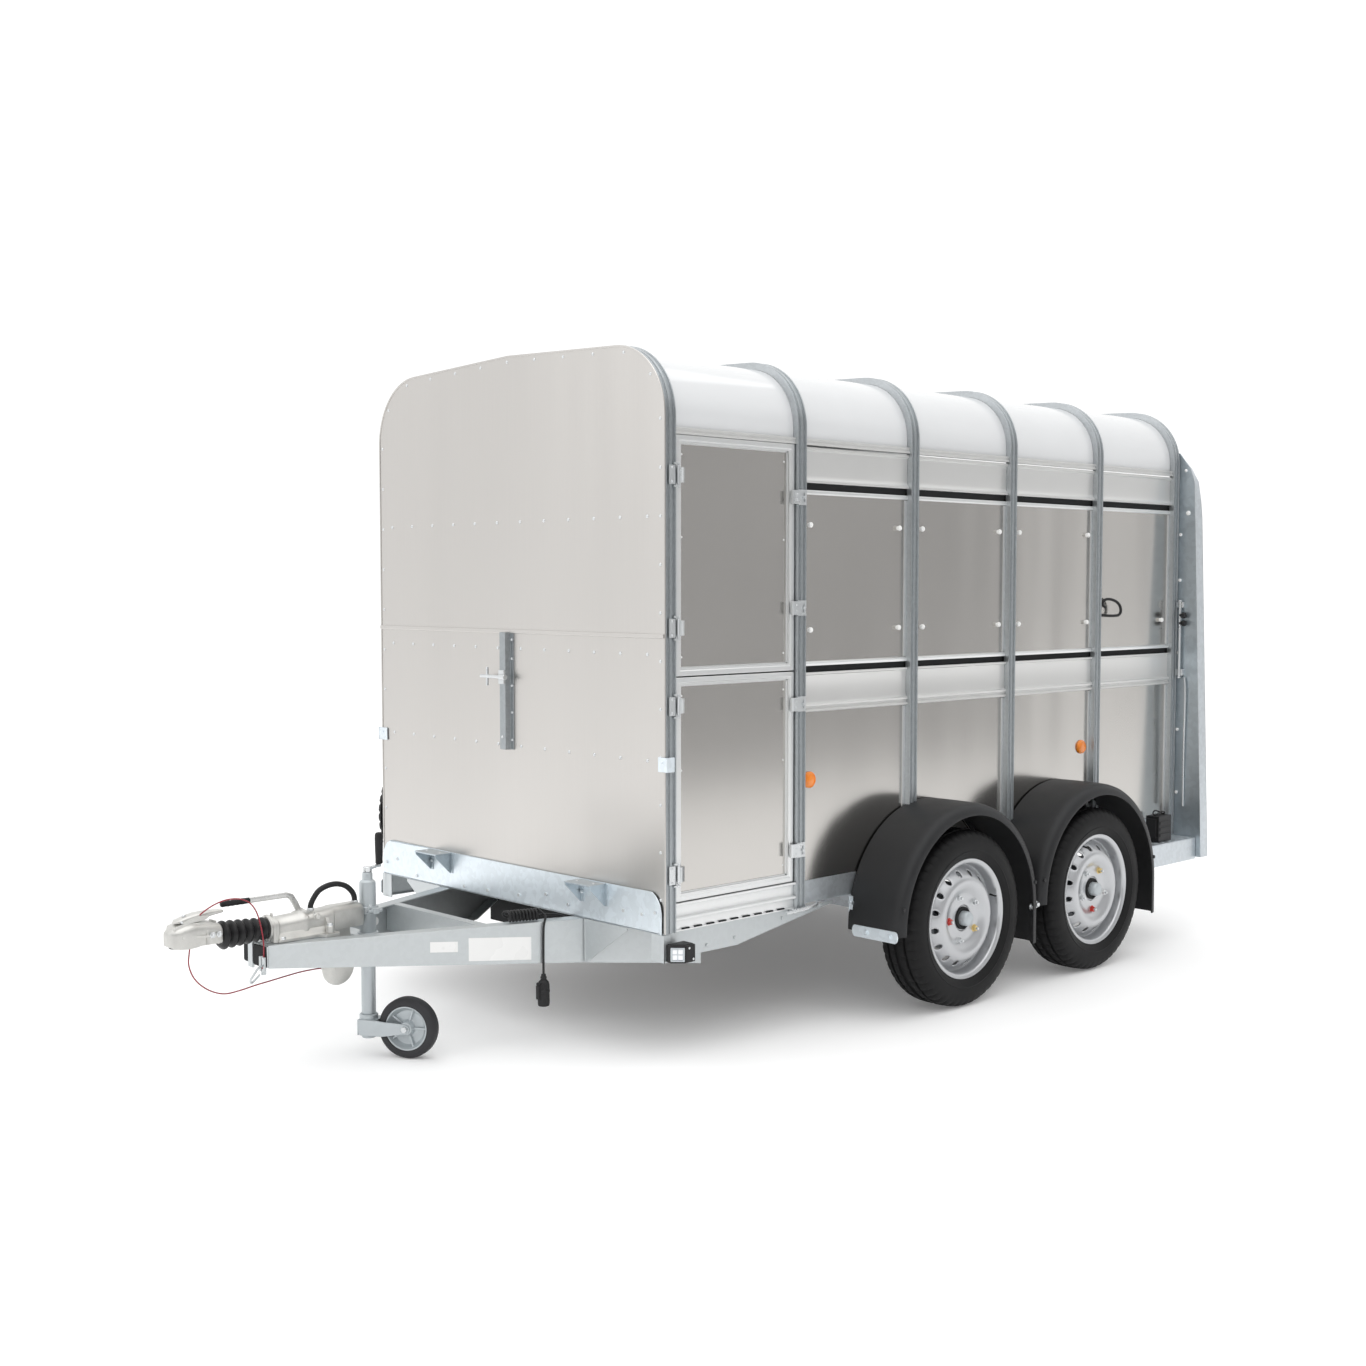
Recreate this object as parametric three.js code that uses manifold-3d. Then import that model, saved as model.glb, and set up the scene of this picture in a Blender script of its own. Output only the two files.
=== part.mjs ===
// Twin-axle livestock trailer with a hooped sheet-metal body, a ramp at the back and a two-leaf side door.
// Millimetres. +Z is up, the trailer drives towards -Y, and +X is its left side.
// The model is laid out from the front panel (station 0) and then moved so that its length is centred on Y = 0.
import * as THREE from 'three';
import { mergeVertices } from 'three/addons/utils/BufferGeometryUtils.js';
import Module from 'manifold-3d';

const wasm = await Module();
wasm.setup();

// ---------------------------------------------------------------- driving dimensions
const STATION_TO_CENTRE = 932;     // front panel to the middle of the overall length
const GAP = 0.3;                   // clearance between touching pieces
const SHEET = 4;                   // body sheet with its edge folds

const BAY = 610;                   // hoop pitch
const BAYS = 5;
const HOOP_WIDTH = 44;             // along the trailer
const HOOP_DEPTH = 24;             // radial depth of the hoop section
const HALF_WIDTH = 798;            // centreline to the outside of a hoop
const CORNER_RADIUS = 240;         // roof corner, outside of the hoop
const RIDGE_HEIGHT = 2330;
const ROOF_SLOPE = 0.0387;         // fall of the shallow gable, per mm of width
const BODY_END = BAYS * BAY + HOOP_WIDTH;

const RAIL_BOTTOM = 438;
const RAIL_TOP = 518;
const RAIL_WIDTH = 55;
const FLOOR_TOP = 500;
const HOOP_BOTTOM = 432;
const MID_VENT = [1238, 1262];
const TOP_VENT = [1864, 1887];
const EAVES = [2016, 2034];        // cant rail along the top of the side
const FRONT_SEAM = 1380;

const WHEEL_RADIUS = 325;
const AXLE_HEIGHT = 325;
const AXLE_STATIONS = [1325.7, 2177.2];
const TYRE_CENTRE = 912;           // centreline to the middle of the tyre
const WHEEL_SEGMENTS = 24;
const GUARD_RADIUS = 425;
const GUARD_OUTSIDE = 1012;

const DRAWBAR_TOP = 430;
const DRAWBAR_FRONT = [62, -992];  // outside corner of the left beam at its front end
const DRAWBAR_SPREAD = 0.351;      // sideways run per mm of length
const DRAWBAR_WIDTH = 50;

const COUPLING_AXIS = 472;         // height of the draw shaft
const SHAFT_RADIUS = 24.5;
const JOCKEY = [0, -592];          // plan position of the jockey tube
const JOCKEY_WHEEL_RADIUS = 100;
const JOCKEY_TRAIL = 142;          // jockey tube to its wheel's axle
const JOCKEY_TURN = 0.547;         // radians, the way the parked fork points, from +X towards +Y

const DOOR = { front: 54, rear: 606, bottom: 526, split: 1248, top: 2014 };
const DOOR_AXIS = [803, 50];
const LATCH_AXIS = [801.5, 588];
const RAMP_AXIS = [3150, 448];
const TAU = Math.PI * 2;

// ---------------------------------------------------------------- materials
const finish = (color, roughness, metalness) => new THREE.MeshStandardMaterial({ color, roughness, metalness });
const galvanised = () => finish(0xb9c0c6, 0.45, 0.8);
const hotDip = () => finish(0xc9d4dc, 0.5, 0.7);
const millAluminium = () => finish(0xb5b4ae, 0.35, 0.9);
const frontSheet = () => finish(0xc9c6c0, 0.5, 0.5);
const whiteSheet = () => finish(0xf2f3f4, 0.2, 0.0);
const castAluminium = () => finish(0xd6d5cf, 0.4, 0.8);
const silverPaint = () => finish(0xc4c7ca, 0.35, 0.6);
const greyPaint = () => finish(0xb7bec2, 0.5, 0.3);
const tyreRubber = () => finish(0x1f2021, 0.85, 0.0);
const mudguardPlastic = () => finish(0x2e2f30, 0.7, 0.0);
const blackRubber = () => finish(0x161617, 0.6, 0.0);
const redCable = () => finish(0xc0303a, 0.4, 0.0);
const plywood = () => finish(0x8a8f92, 0.6, 0.4);

// ---------------------------------------------------------------- solids and joins
function solidOf(geometry) {
  const bare = geometry.clone();
  bare.deleteAttribute('normal');
  bare.deleteAttribute('uv');
  const merged = mergeVertices(bare, 1e-4);
  const corners = merged.index.array;
  const kept = [];
  for (let i = 0; i < corners.length; i += 3) {
    const [a, b, c] = [corners[i], corners[i + 1], corners[i + 2]];
    if (a !== b && b !== c && c !== a) kept.push(a, b, c);
  }
  const vertProperties = new Float32Array(merged.attributes.position.array);
  const triVerts = new Uint32Array(kept);
  return new wasm.Manifold(new wasm.Mesh({ numProp: 3, vertProperties, triVerts }));
}

function geometryOf(solid) {
  const mesh = solid.getMesh();
  const geometry = new THREE.BufferGeometry();
  geometry.setAttribute('position', new THREE.BufferAttribute(new Float32Array(mesh.vertProperties), 3));
  geometry.setIndex(new THREE.BufferAttribute(new Uint32Array(mesh.triVerts), 1));
  geometry.computeVertexNormals();
  return geometry;
}

const join = (...pieces) => geometryOf(pieces.map(solidOf).reduce((sum, piece) => sum.add(piece)));
const cut = (body, ...tools) => geometryOf(tools.map(solidOf).reduce((rest, tool) => rest.subtract(tool), solidOf(body)));
const mirrored = (geometry) => geometryOf(solidOf(geometry).mirror([1, 0, 0]));

// ---------------------------------------------------------------- basic shapes
function box(x0, x1, y0, y1, z0, z1) {
  const geometry = new THREE.BoxGeometry(x1 - x0, y1 - y0, z1 - z0);
  geometry.translate((x0 + x1) / 2, (y0 + y1) / 2, (z0 + z1) / 2);
  return geometry;
}

function prism(points, depth) {
  const shape = new THREE.Shape(points.map(([a, b]) => new THREE.Vector2(a, b)));
  return new THREE.ExtrudeGeometry(shape, { depth, bevelEnabled: false });
}

function placed(geometry, xAxis, yAxis, zAxis, origin) {
  const matrix = new THREE.Matrix4().makeBasis(xAxis, yAxis, zAxis);
  matrix.setPosition(...origin);
  return geometry.applyMatrix4(matrix);
}

const X = new THREE.Vector3(1, 0, 0);
const Y = new THREE.Vector3(0, 1, 0);
const Z = new THREE.Vector3(0, 0, 1);

// Outlines given as (y, z), (x, z) and (x, y) pairs.
const alongX = (points, x0, x1) => placed(prism(points, x1 - x0), Y, Z, X, [x0, 0, 0]);
const alongY = (points, y0, y1) => placed(prism(points, y1 - y0), X, Z, Y.clone().negate(), [0, y1, 0]);
const alongZ = (points, z0, z1) => placed(prism(points, z1 - z0), X, Y, Z, [0, 0, z0]);

// A profile of [distance along the axis, radius] pairs, turned about X, Y or Z through a point.
function turned(profile, segments, axis, origin, phase = 0) {
  const points = profile.map(([along, radius]) => new THREE.Vector2(radius, along));
  const geometry = new THREE.LatheGeometry(points, segments);
  geometry.rotateY(phase);
  if (axis === 'x') geometry.rotateZ(-Math.PI / 2);
  if (axis === 'z') geometry.rotateX(Math.PI / 2);
  geometry.translate(...origin);
  const signed = new THREE.Vector3();
  const corners = [0, 1, 2].map(() => new THREE.Vector3());
  let volume = 0;
  for (let i = 0; i < geometry.index.count; i += 3) {
    corners.forEach((corner, k) => corner.fromBufferAttribute(geometry.attributes.position, geometry.index.getX(i + k)));
    volume += corners[0].dot(signed.crossVectors(corners[1], corners[2]));
  }
  if (volume < 0) {
    const order = geometry.index.array;
    for (let i = 0; i < order.length; i += 3) [order[i + 1], order[i + 2]] = [order[i + 2], order[i + 1]];
  }
  return geometry;
}

const rod = (from, to, radius, axis, origin, segments = 16) =>
  turned([[from, 0], [from, radius], [to, radius], [to, 0]], segments, axis, origin);

function tubeAlong(points, radius, sides, steps) {
  const path = new THREE.CatmullRomCurve3(points.map((point) => new THREE.Vector3(...point)), false, 'centripetal');
  const ring = [...Array(sides).keys()].map((k) => [radius * Math.cos((TAU * k) / sides), radius * Math.sin((TAU * k) / sides)]);
  const shape = new THREE.Shape(ring.map(([a, b]) => new THREE.Vector2(a, b)));
  return new THREE.ExtrudeGeometry(shape, { steps, extrudePath: path, bevelEnabled: false });
}

// ---------------------------------------------------------------- scene graph
const trailer = new THREE.Group();
const frame = new THREE.Group();
frame.position.y = -STATION_TO_CENTRE;
trailer.add(frame);

function add(name, geometry, material) {
  const mesh = new THREE.Mesh(geometry, material);
  mesh.name = name;
  frame.add(mesh);
}

function addPair(name, geometry, makeMaterial) {
  add(`${name}_left`, geometry, makeMaterial());
  add(`${name}_right`, mirrored(geometry), makeMaterial());
}

// ---------------------------------------------------------------- body outline
// Half of the arch from the foot to the ridge, moved inwards by inset.
function archSide(inset, foot, steps = 6) {
  const radius = CORNER_RADIUS - inset;
  const centreX = HALF_WIDTH - CORNER_RADIUS;
  const slopeAngle = Math.atan(ROOF_SLOPE);
  const shoulder = RIDGE_HEIGHT - ROOF_SLOPE * (centreX + CORNER_RADIUS * Math.sin(slopeAngle));
  const centreZ = shoulder - CORNER_RADIUS * Math.cos(slopeAngle);
  const side = [[HALF_WIDTH - inset, foot]];
  for (let k = 0; k <= steps; k += 1) {
    const angle = (k / steps) * (Math.PI / 2 - slopeAngle);
    side.push([centreX + radius * Math.cos(angle), centreZ + radius * Math.sin(angle)]);
  }
  side.push([0, RIDGE_HEIGHT - inset / Math.cos(slopeAngle)]);
  return side;
}

function arch(inset, foot) {
  const left = archSide(inset, foot);
  const right = left.slice(0, -1).reverse().map(([x, z]) => [-x, z]);
  return [...left, ...right];
}

const archBand = (outer, inner, foot) => [...arch(outer, foot), ...arch(inner, foot).reverse()];

// ---------------------------------------------------------------- chassis and drawbar
function drawbarBeam() {
  const length = 1500;
  const side = (edge) => [
    [edge, 358 + edge],
    [1030, 280 + edge],
    [1200, 280 + edge],
    [length - edge, 385 + edge],
    [length - edge, DRAWBAR_TOP - edge],
    [edge, DRAWBAR_TOP - edge],
  ];
  const along = new THREE.Vector3(DRAWBAR_SPREAD, 1, 0).normalize();
  const outward = new THREE.Vector3().crossVectors(along, Z);
  const corner = new THREE.Vector3(DRAWBAR_FRONT[0], DRAWBAR_FRONT[1], 0);
  const inner = corner.clone().addScaledVector(outward, -DRAWBAR_WIDTH);
  const pocketStart = corner.clone().addScaledVector(outward, -DRAWBAR_WIDTH - 10);
  const beam = placed(prism(side(0), DRAWBAR_WIDTH), along, Z, outward, inner.toArray());
  const pocket = placed(prism(side(6), DRAWBAR_WIDTH + 4), along, Z, outward, pocketStart.toArray());
  return cut(beam, pocket);
}
addPair('drawbar_beam', drawbarBeam(), hotDip);

function sideRail() {
  const outside = HALF_WIDTH - HOOP_DEPTH - 1.5;
  const inside = outside - RAIL_WIDTH;
  const wall = 5;
  const section = [
    [inside, RAIL_BOTTOM], [outside, RAIL_BOTTOM], [outside, RAIL_TOP], [inside, RAIL_TOP],
    [inside, RAIL_TOP - wall], [outside - wall, RAIL_TOP - wall], [outside - wall, RAIL_BOTTOM + wall],
    [inside, RAIL_BOTTOM + wall],
  ];
  return alongY(section, GAP, BODY_END);
}
addPair('side_rail', sideRail(), hotDip);

function floorDeck() {
  const half = HALF_WIDTH - HOOP_DEPTH - 1.5 - RAIL_WIDTH - GAP;
  const deck = box(-half, half, GAP, BODY_END, FLOOR_TOP - 18, FLOOR_TOP);
  const ribs = [...Array(7).keys()].map((k) => {
    const station = 20 + k * 500;
    return box(-half, half, station, station + 50, DRAWBAR_TOP + GAP, FLOOR_TOP - 17);
  });
  return join(deck, ...ribs);
}
add('floor_deck', floorDeck(), plywood());

// Triangular plate beside the drawbar, the diagonal outrigger behind it and the tapered plate under the sill.
function chassisBrace() {
  const triangle = alongY([[412, 284], [424, 284], [626, 420], [626, 429.7], [412, 429.7]], -14, -9);
  const outriggerLength = 515;
  const outrigger = placed(
    prism([[0, 282], [388, 280], [500, 345], [outriggerLength, 429.7], [0, 429.7]], 5),
    new THREE.Vector3(1, 1, 0).normalize(), Z, new THREE.Vector3(1, -1, 0).normalize(), [412, -13, 0],
  );
  const skirt = alongX([[-10, 345], [340, 345], [822, 424], [822, 429.7], [-10, 429.7]], 773.5, 779);
  const corner = box(738, 797, -10, -5, 341, 429.7);
  return join(triangle, outrigger, skirt, corner);
}
addPair('chassis_brace', chassisBrace(), galvanised);

// ---------------------------------------------------------------- front wall
const halfFront = HALF_WIDTH - 1;
add('front_panel_lower', box(-halfFront, halfFront, -SHEET, -GAP, 432, FRONT_SEAM), frontSheet());

function upperFront() {
  const sheet = alongY(arch(1, FRONT_SEAM + GAP), -SHEET, -GAP);
  const ledge = box(-halfFront, halfFront, -9, -SHEET - GAP, FRONT_SEAM - 8, FRONT_SEAM + 6);
  const bridge = box(-halfFront, halfFront, -9, -1, FRONT_SEAM + 2, FRONT_SEAM + 6);
  return join(sheet, ledge, bridge);
}
add('front_panel_upper', upperFront(), frontSheet());

// Folded plate across the foot of the front wall, with its two gusseted shelf brackets.
function headboard() {
  const half = 788;
  const outline = [[-half, 430.5], [half, 430.5], [half, 500], [half - 14, 538], [half - 48, 562], [48 - half, 562],
    [14 - half, 538], [-half, 500]];
  const plate = alongY(outline, -16, -SHEET - GAP);
  const brackets = [-406, 456].flatMap((centre) => [
    box(centre - 66, centre + 66, -84, -15, 558, 562),
    ...[-63, 60].map((edge) => alongX([[-84, 560], [-15, 485], [-15, 560]], centre + edge - 2, centre + edge + 3)),
  ]);
  return join(plate, ...brackets);
}
add('headboard', headboard(), hotDip());

// ---------------------------------------------------------------- hoops, roof and side sheets
const INNER_SKIN = HALF_WIDTH - HOOP_DEPTH - GAP;

function hoopFrame() {
  const band = archBand(0, HOOP_DEPTH, HOOP_BOTTOM);
  const hoops = [...Array(BAYS + 1).keys()].map((k) => alongY(band, k * BAY, k * BAY + HOOP_WIDTH));
  const plankStart = { left: BAY + 10, right: 10 };
  const rails = [1, -1].flatMap((side) => {
    const edges = [side * 768, side * (HALF_WIDTH - 12)].sort((a, b) => a - b);
    const plankEdges = [side * 769, side * (HALF_WIDTH - HOOP_DEPTH + 2)].sort((a, b) => a - b);
    const start = side > 0 ? plankStart.left : plankStart.right;
    return [
      box(...edges, 10, BODY_END - 10, ...EAVES),
      box(...plankEdges, start, BODY_END - 10, TOP_VENT[1], EAVES[0] + 2),
    ];
  });
  return join(...hoops, ...rails);
}
add('hoop_frame', hoopFrame(), galvanised());

const roofBand = archBand(HOOP_DEPTH + GAP, HOOP_DEPTH + GAP + SHEET, EAVES[1] + GAP);
add('roof_skin', alongY(roofBand, GAP, BODY_END), whiteSheet());

function sideSheet(start, low, high) {
  return box(INNER_SKIN - SHEET, INNER_SKIN, start, BODY_END, low, high);
}
const doorBayEnd = BAY + 6;
add('upper_panel_left', sideSheet(doorBayEnd, MID_VENT[1], TOP_VENT[0]), millAluminium());
add('lower_panel_left', sideSheet(doorBayEnd, RAIL_TOP + GAP, MID_VENT[0]), millAluminium());
add('upper_panel_right', mirrored(sideSheet(GAP, MID_VENT[1], TOP_VENT[0])), millAluminium());
add('lower_panel_right', mirrored(sideSheet(GAP, RAIL_TOP + GAP, MID_VENT[0])), millAluminium());

// ---------------------------------------------------------------- side door leaves and their catches
// Each leaf is a sheet in a tube frame with two hinge barrels on the front edge.
function doorLeaf(low, high, barrelHeights) {
  const frameIn = 25;
  const leaf = box(762, 786, DOOR.front, DOOR.rear, low, high);
  const recess = box(768, 790, DOOR.front + frameIn, DOOR.rear - frameIn, low + frameIn, high - frameIn);
  const barrels = barrelHeights.flatMap((height) => [
    rod(height - 30, height + 30, 6.5, 'z', [...DOOR_AXIS, 0], 10),
    box(784, 804, DOOR_AXIS[1] + 3, DOOR_AXIS[1] + 24, height - 28, height + 28),
  ]);
  return join(cut(leaf, recess), ...barrels);
}
add('door_upper', doorLeaf(DOOR.split + 2, DOOR.top, [1886, 1404]), millAluminium());
add('door_lower', doorLeaf(DOOR.bottom, DOOR.split - 2, [1157, 618]), millAluminium());

const LATCHES = { upper_top: 1836, upper_low: 1462, lower_top: 1135, lower_low: 634 };
for (const [place, height] of Object.entries(LATCHES)) {
  const knuckle = rod(height - 22, height + 22, 6, 'z', [LATCH_AXIS[0] - 8.5, LATCH_AXIS[1], 0], 10);
  const plate = box(799.5, 803.5, LATCH_AXIS[1] - 4, 644, height - 24, height + 24);
  const web = box(792, 803, LATCH_AXIS[1] - 4, LATCH_AXIS[1] + 4, height - 22, height + 22);
  add(`door_latch_${place}`, join(knuckle, web, plate), galvanised());
}

// ---------------------------------------------------------------- rear wings and ramp
function rearWing() {
  const inner = 700;
  const back = BODY_END + 3;
  const outline = [[inner, 340], [930, 340], [870, 1990], [850, 2045], [796, 2118], [774, 2118], [774, 520], [inner, 520]];
  const plate = alongY(outline, back, back + 4);
  const returnFlange = alongY([[926, 340], [930, 340], [870, 1990], [866, 1990]], back + 1, back + 63);
  const step = alongY([[HALF_WIDTH + 0.5, 424], [901, 424], [901, 332], [905, 332], [905, 428], [HALF_WIDTH + 0.5, 428]],
    2606, back + 1);
  return join(plate, returnFlange, step);
}
addPair('rear_wing', rearWing(), hotDip);

function ramp() {
  const half = 792;
  const top = 1860;
  const skin = box(-half, half, BODY_END + 9, BODY_END + 17, RAMP_AXIS[1], top);
  const stiles = [-half, half - 40].map((edge) => box(edge, edge + 40, BODY_END + 9, RAMP_AXIS[0], RAMP_AXIS[1], top));
  const levels = [...Array(6).keys()].map((k) => RAMP_AXIS[1] + (k * (top - RAMP_AXIS[1] - 40)) / 5);
  const ribs = levels.map((level) => box(-half + 1, half - 1, BODY_END + 16, RAMP_AXIS[0] - 6, level, level + 40));
  return join(skin, ...stiles, ...ribs);
}
add('ramp', ramp(), millAluminium());

// Vertical lock bar with a pair of round knobs, turning on the front of each rear wing.
function rampLatch() {
  const centre = [818, BODY_END - 14, 0];
  const bar = rod(1130, 1470, 6, 'z', centre, 10);
  const arm = box(centre[0] - 3, centre[0] + 3, centre[1] - 2, BODY_END + 1, 1145, 1165);
  const knobs = [1371, 1406].map((height) => rod(0, 26, 13, 'x', [centre[0] + 3, centre[1], height], 12));
  return join(bar, arm, ...knobs);
}
addPair('ramp_latch', rampLatch(), galvanised);

// ---------------------------------------------------------------- running gear
// Beam axle with its brake drums, leaf packs and spring hangers.
function axle(station) {
  const beam = box(-800, 800, station - 30, station + 30, AXLE_HEIGHT - 30, AXLE_HEIGHT + 30);
  const drums = [1, -1].map((side) => rod(side > 0 ? 790 : -925, side > 0 ? 925 : -790, 125, 'x', [0, station, AXLE_HEIGHT]));
  const reach = 385;
  const leaf = [];
  for (let k = 0; k <= 8; k += 1) {
    const t = k / 4 - 1;
    leaf.push([station + reach * t, 362 + 52 * t * t]);
  }
  const pack = [...leaf, ...leaf.slice().reverse().map(([y, z]) => [y, z - 10 - 16 * (1 - ((y - station) / reach) ** 2)])];
  const springs = [720, -765].map((x) => alongX(pack, x, x + 45));
  const hangers = [720, -765].flatMap((x) => [-reach - 8, reach - 12].map((run) =>
    box(x, x + 45, station + run, station + run + 20, 402, RAIL_BOTTOM - GAP)));
  return join(beam, ...drums, ...springs, ...hangers);
}
add('axle_front', axle(AXLE_STATIONS[0]), greyPaint());
add('axle_rear', axle(AXLE_STATIONS[1]), greyPaint());

// Profiles as [distance from the tyre's middle, radius], the outer side being positive.
// The faceted tread stands on one flat, whose middle is at the rolling radius.
const HALF_SEGMENT = Math.PI / WHEEL_SEGMENTS;
const TREAD_RADIUS = WHEEL_RADIUS / Math.cos(HALF_SEGMENT);
const RIM_PROFILE = [
  [58, 0], [58, 88], [44, 118], [50, 188], [72, 206], [72, 220], [66, 220], [60, 203], [-58, 203], [-64, 220],
  [-71, 220], [-66, 196], [30, 194], [28, 120], [16, 86], [16, 0],
];
const TYRE_PROFILE = [
  [59, 203.4], [65, 220.7], [73, 221], [87, 262], [80, 305], [62, TREAD_RADIUS], [-62, TREAD_RADIUS], [-80, 305],
  [-87, 262], [-72, 221], [-63.5, 220.7], [-57, 203.4], [59, 203.4],
];

function rimAt(x, station, height, side, extra = []) {
  const profile = RIM_PROFILE.map(([along, radius]) => [side * along, radius]);
  const rim = turned(profile, WHEEL_SEGMENTS, 'x', [x, station, height], HALF_SEGMENT);
  return extra.length ? join(rim, ...extra) : rim;
}

function tyreAt(x, station, height, side) {
  const profile = TYRE_PROFILE.map(([along, radius]) => [side * along, radius]);
  return turned(profile, WHEEL_SEGMENTS, 'x', [x, station, height], HALF_SEGMENT);
}

['front', 'rear'].forEach((place, k) => {
  [['left', 1], ['right', -1]].forEach(([hand, side]) => {
    const centre = [side * TYRE_CENTRE, AXLE_STATIONS[k], AXLE_HEIGHT];
    add(`wheel_rim_${place}_${hand}`, rimAt(...centre, side), silverPaint());
    add(`tyre_${place}_${hand}`, tyreAt(...centre, side), tyreRubber());
  });
});

const SPARE = [-888, 395, 630];
const carrier = rod(SPARE[0] - 22, -HALF_WIDTH - 0.5, 60, 'x', [0, SPARE[1], SPARE[2]], 20);
add('spare_rim', rimAt(...SPARE, -1, [carrier]), silverPaint());
add('spare_tyre', tyreAt(...SPARE, -1), tyreRubber());

// Half-round mudguard with an outer lip and a hanging flap behind the wheel.
function mudguard(station) {
  const segments = 18;
  const wall = 7;
  const inside = HALF_WIDTH + 1;
  const ring = (radius) => [...Array(segments + 1).keys()].map((k) => {
    const angle = (Math.PI * k) / segments;
    return [station + radius * Math.cos(angle), AXLE_HEIGHT + radius * Math.sin(angle)];
  });
  const crown = alongX([...ring(GUARD_RADIUS), ...ring(GUARD_RADIUS - wall).reverse()], inside, GUARD_OUTSIDE);
  const lip = alongX([...ring(GUARD_RADIUS), ...ring(GUARD_RADIUS - 42).reverse()], GUARD_OUTSIDE - wall, GUARD_OUTSIDE);
  const flap = box(inside, GUARD_OUTSIDE, station + GUARD_RADIUS - wall, station + GUARD_RADIUS - 1, 175, AXLE_HEIGHT + 4);
  return join(crown, lip, flap);
}
addPair('mudguard_front', mudguard(AXLE_STATIONS[0]), mudguardPlastic);
addPair('mudguard_rear', mudguard(AXLE_STATIONS[1]), mudguardPlastic);

// ---------------------------------------------------------------- overrun coupling and handbrake
function couplingHousing() {
  const section = [[-52, DRAWBAR_TOP + GAP], [52, DRAWBAR_TOP + GAP], [52, 480], [40, 500], [18, 510], [-18, 510], [-40, 500], [-52, 480]];
  const barrel = alongY(section, -960, -735);
  const foot = box(-80, 80, -948, -742, DRAWBAR_TOP + GAP, 440);
  const tail = alongY([[-34, 439], [34, 439], [34, 500], [18, 514], [-18, 514], [-34, 500]], -740, -622);
  const bore = rod(-1000, -560, SHAFT_RADIUS + 1.5, 'y', [0, 0, COUPLING_AXIS]);
  const pivot = rod(-60, -50, 12, 'x', [0, -806, 492], 12);
  const quadrant = rod(-5, 5, 60, 'x', [0, -706, 309], 20);
  const web = box(-5, 5, -738, -674, 310, 445);
  return join(cut(join(barrel, foot, tail), bore), pivot, quadrant, web);
}
add('coupling_housing', couplingHousing(), castAluminium());

function couplingHead() {
  const plan = [[-27, -1285], [-12, -1296], [12, -1296], [27, -1285], [40, -1262], [43, -1235], [38, -1190], [36, -1126],
    [-36, -1126], [-38, -1190], [-43, -1235], [-40, -1262]];
  const casting = alongZ(plan, 456, 512);
  const crown = alongX([[-1282, 505], [-1140, 505], [-1140, 516], [-1180, 524], [-1255, 526], [-1278, 520]], -28, 28);
  const shaft = rod(-1130, -742, SHAFT_RADIUS, 'y', [0, 0, COUPLING_AXIS]);
  const socket = rod(440, 486, 27, 'z', [0, -1252, 0], 20);
  return cut(join(casting, crown, shaft), socket);
}
add('coupling_head', couplingHead(), castAluminium());

function couplingHandle() {
  const blade = [[-1266, 530], [-1250, 528], [-1180, 526], [-1168, 533], [-1112, 541], [-1112, 550], [-1170, 557],
    [-1215, 546], [-1262, 537]];
  return alongX(blade, -16, 16);
}
add('coupling_handle', couplingHandle(), castAluminium());

const BELLOWS = { front: -1124, rear: -962 };
function bellows() {
  const folds = 5;
  const pitch = (BELLOWS.rear - BELLOWS.front) / folds;
  const outer = [];
  for (let k = 0; k < folds; k += 1) {
    const swell = 46 - 2 * k;
    const start = BELLOWS.front + k * pitch;
    outer.push([start, swell - 9], [start + pitch * 0.35, swell], [start + pitch * 0.65, swell]);
  }
  outer.push([BELLOWS.rear - 1, 34]);
  const bore = [[BELLOWS.rear - 1, SHAFT_RADIUS + 1], [BELLOWS.front, SHAFT_RADIUS + 1]];
  return turned([...outer, ...bore, outer[0]], 20, 'y', [0, 0, COUPLING_AXIS]);
}
add('coupling_bellows', bellows(), blackRubber());

function handbrakeLever() {
  const side = [[-812, 484], [-800, 484], [-798, 500], [-836, 552], [-850, 560], [-1070, 566], [-1082, 560], [-1082, 548],
    [-1070, 541], [-985, 540], [-860, 545], [-816, 502]];
  return alongX(side, -72, -60.5);
}
add('handbrake_lever', handbrakeLever(), castAluminium());

// ---------------------------------------------------------------- jockey wheel
function jockeyTube() {
  const tube = rod(330, 577, 27, 'z', [...JOCKEY, 0], 20);
  const collar = rod(575, 604, 17, 'z', [...JOCKEY, 0], 16);
  const bore = rod(300, 568, 23.9, 'z', [...JOCKEY, 0], 20);
  const neckBore = rod(560, 620, 8.4, 'z', [...JOCKEY, 0], 16);
  const bracket = alongZ([[-136, -612], [136, -612], [146, -576], [-146, -576]], 392, 398);
  return cut(join(tube, collar, bracket), bore, neckBore);
}
add('jockey_tube', jockeyTube(), greyPaint());

function jockeyInnerTube() {
  const tube = rod(58, 450, 23.4, 'z', [...JOCKEY, 0], 20);
  const screwWell = rod(120, 460, 8.4, 'z', [...JOCKEY, 0], 12);
  return cut(tube, screwWell);
}
add('jockey_inner_tube', jockeyInnerTube(), greyPaint());

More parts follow.
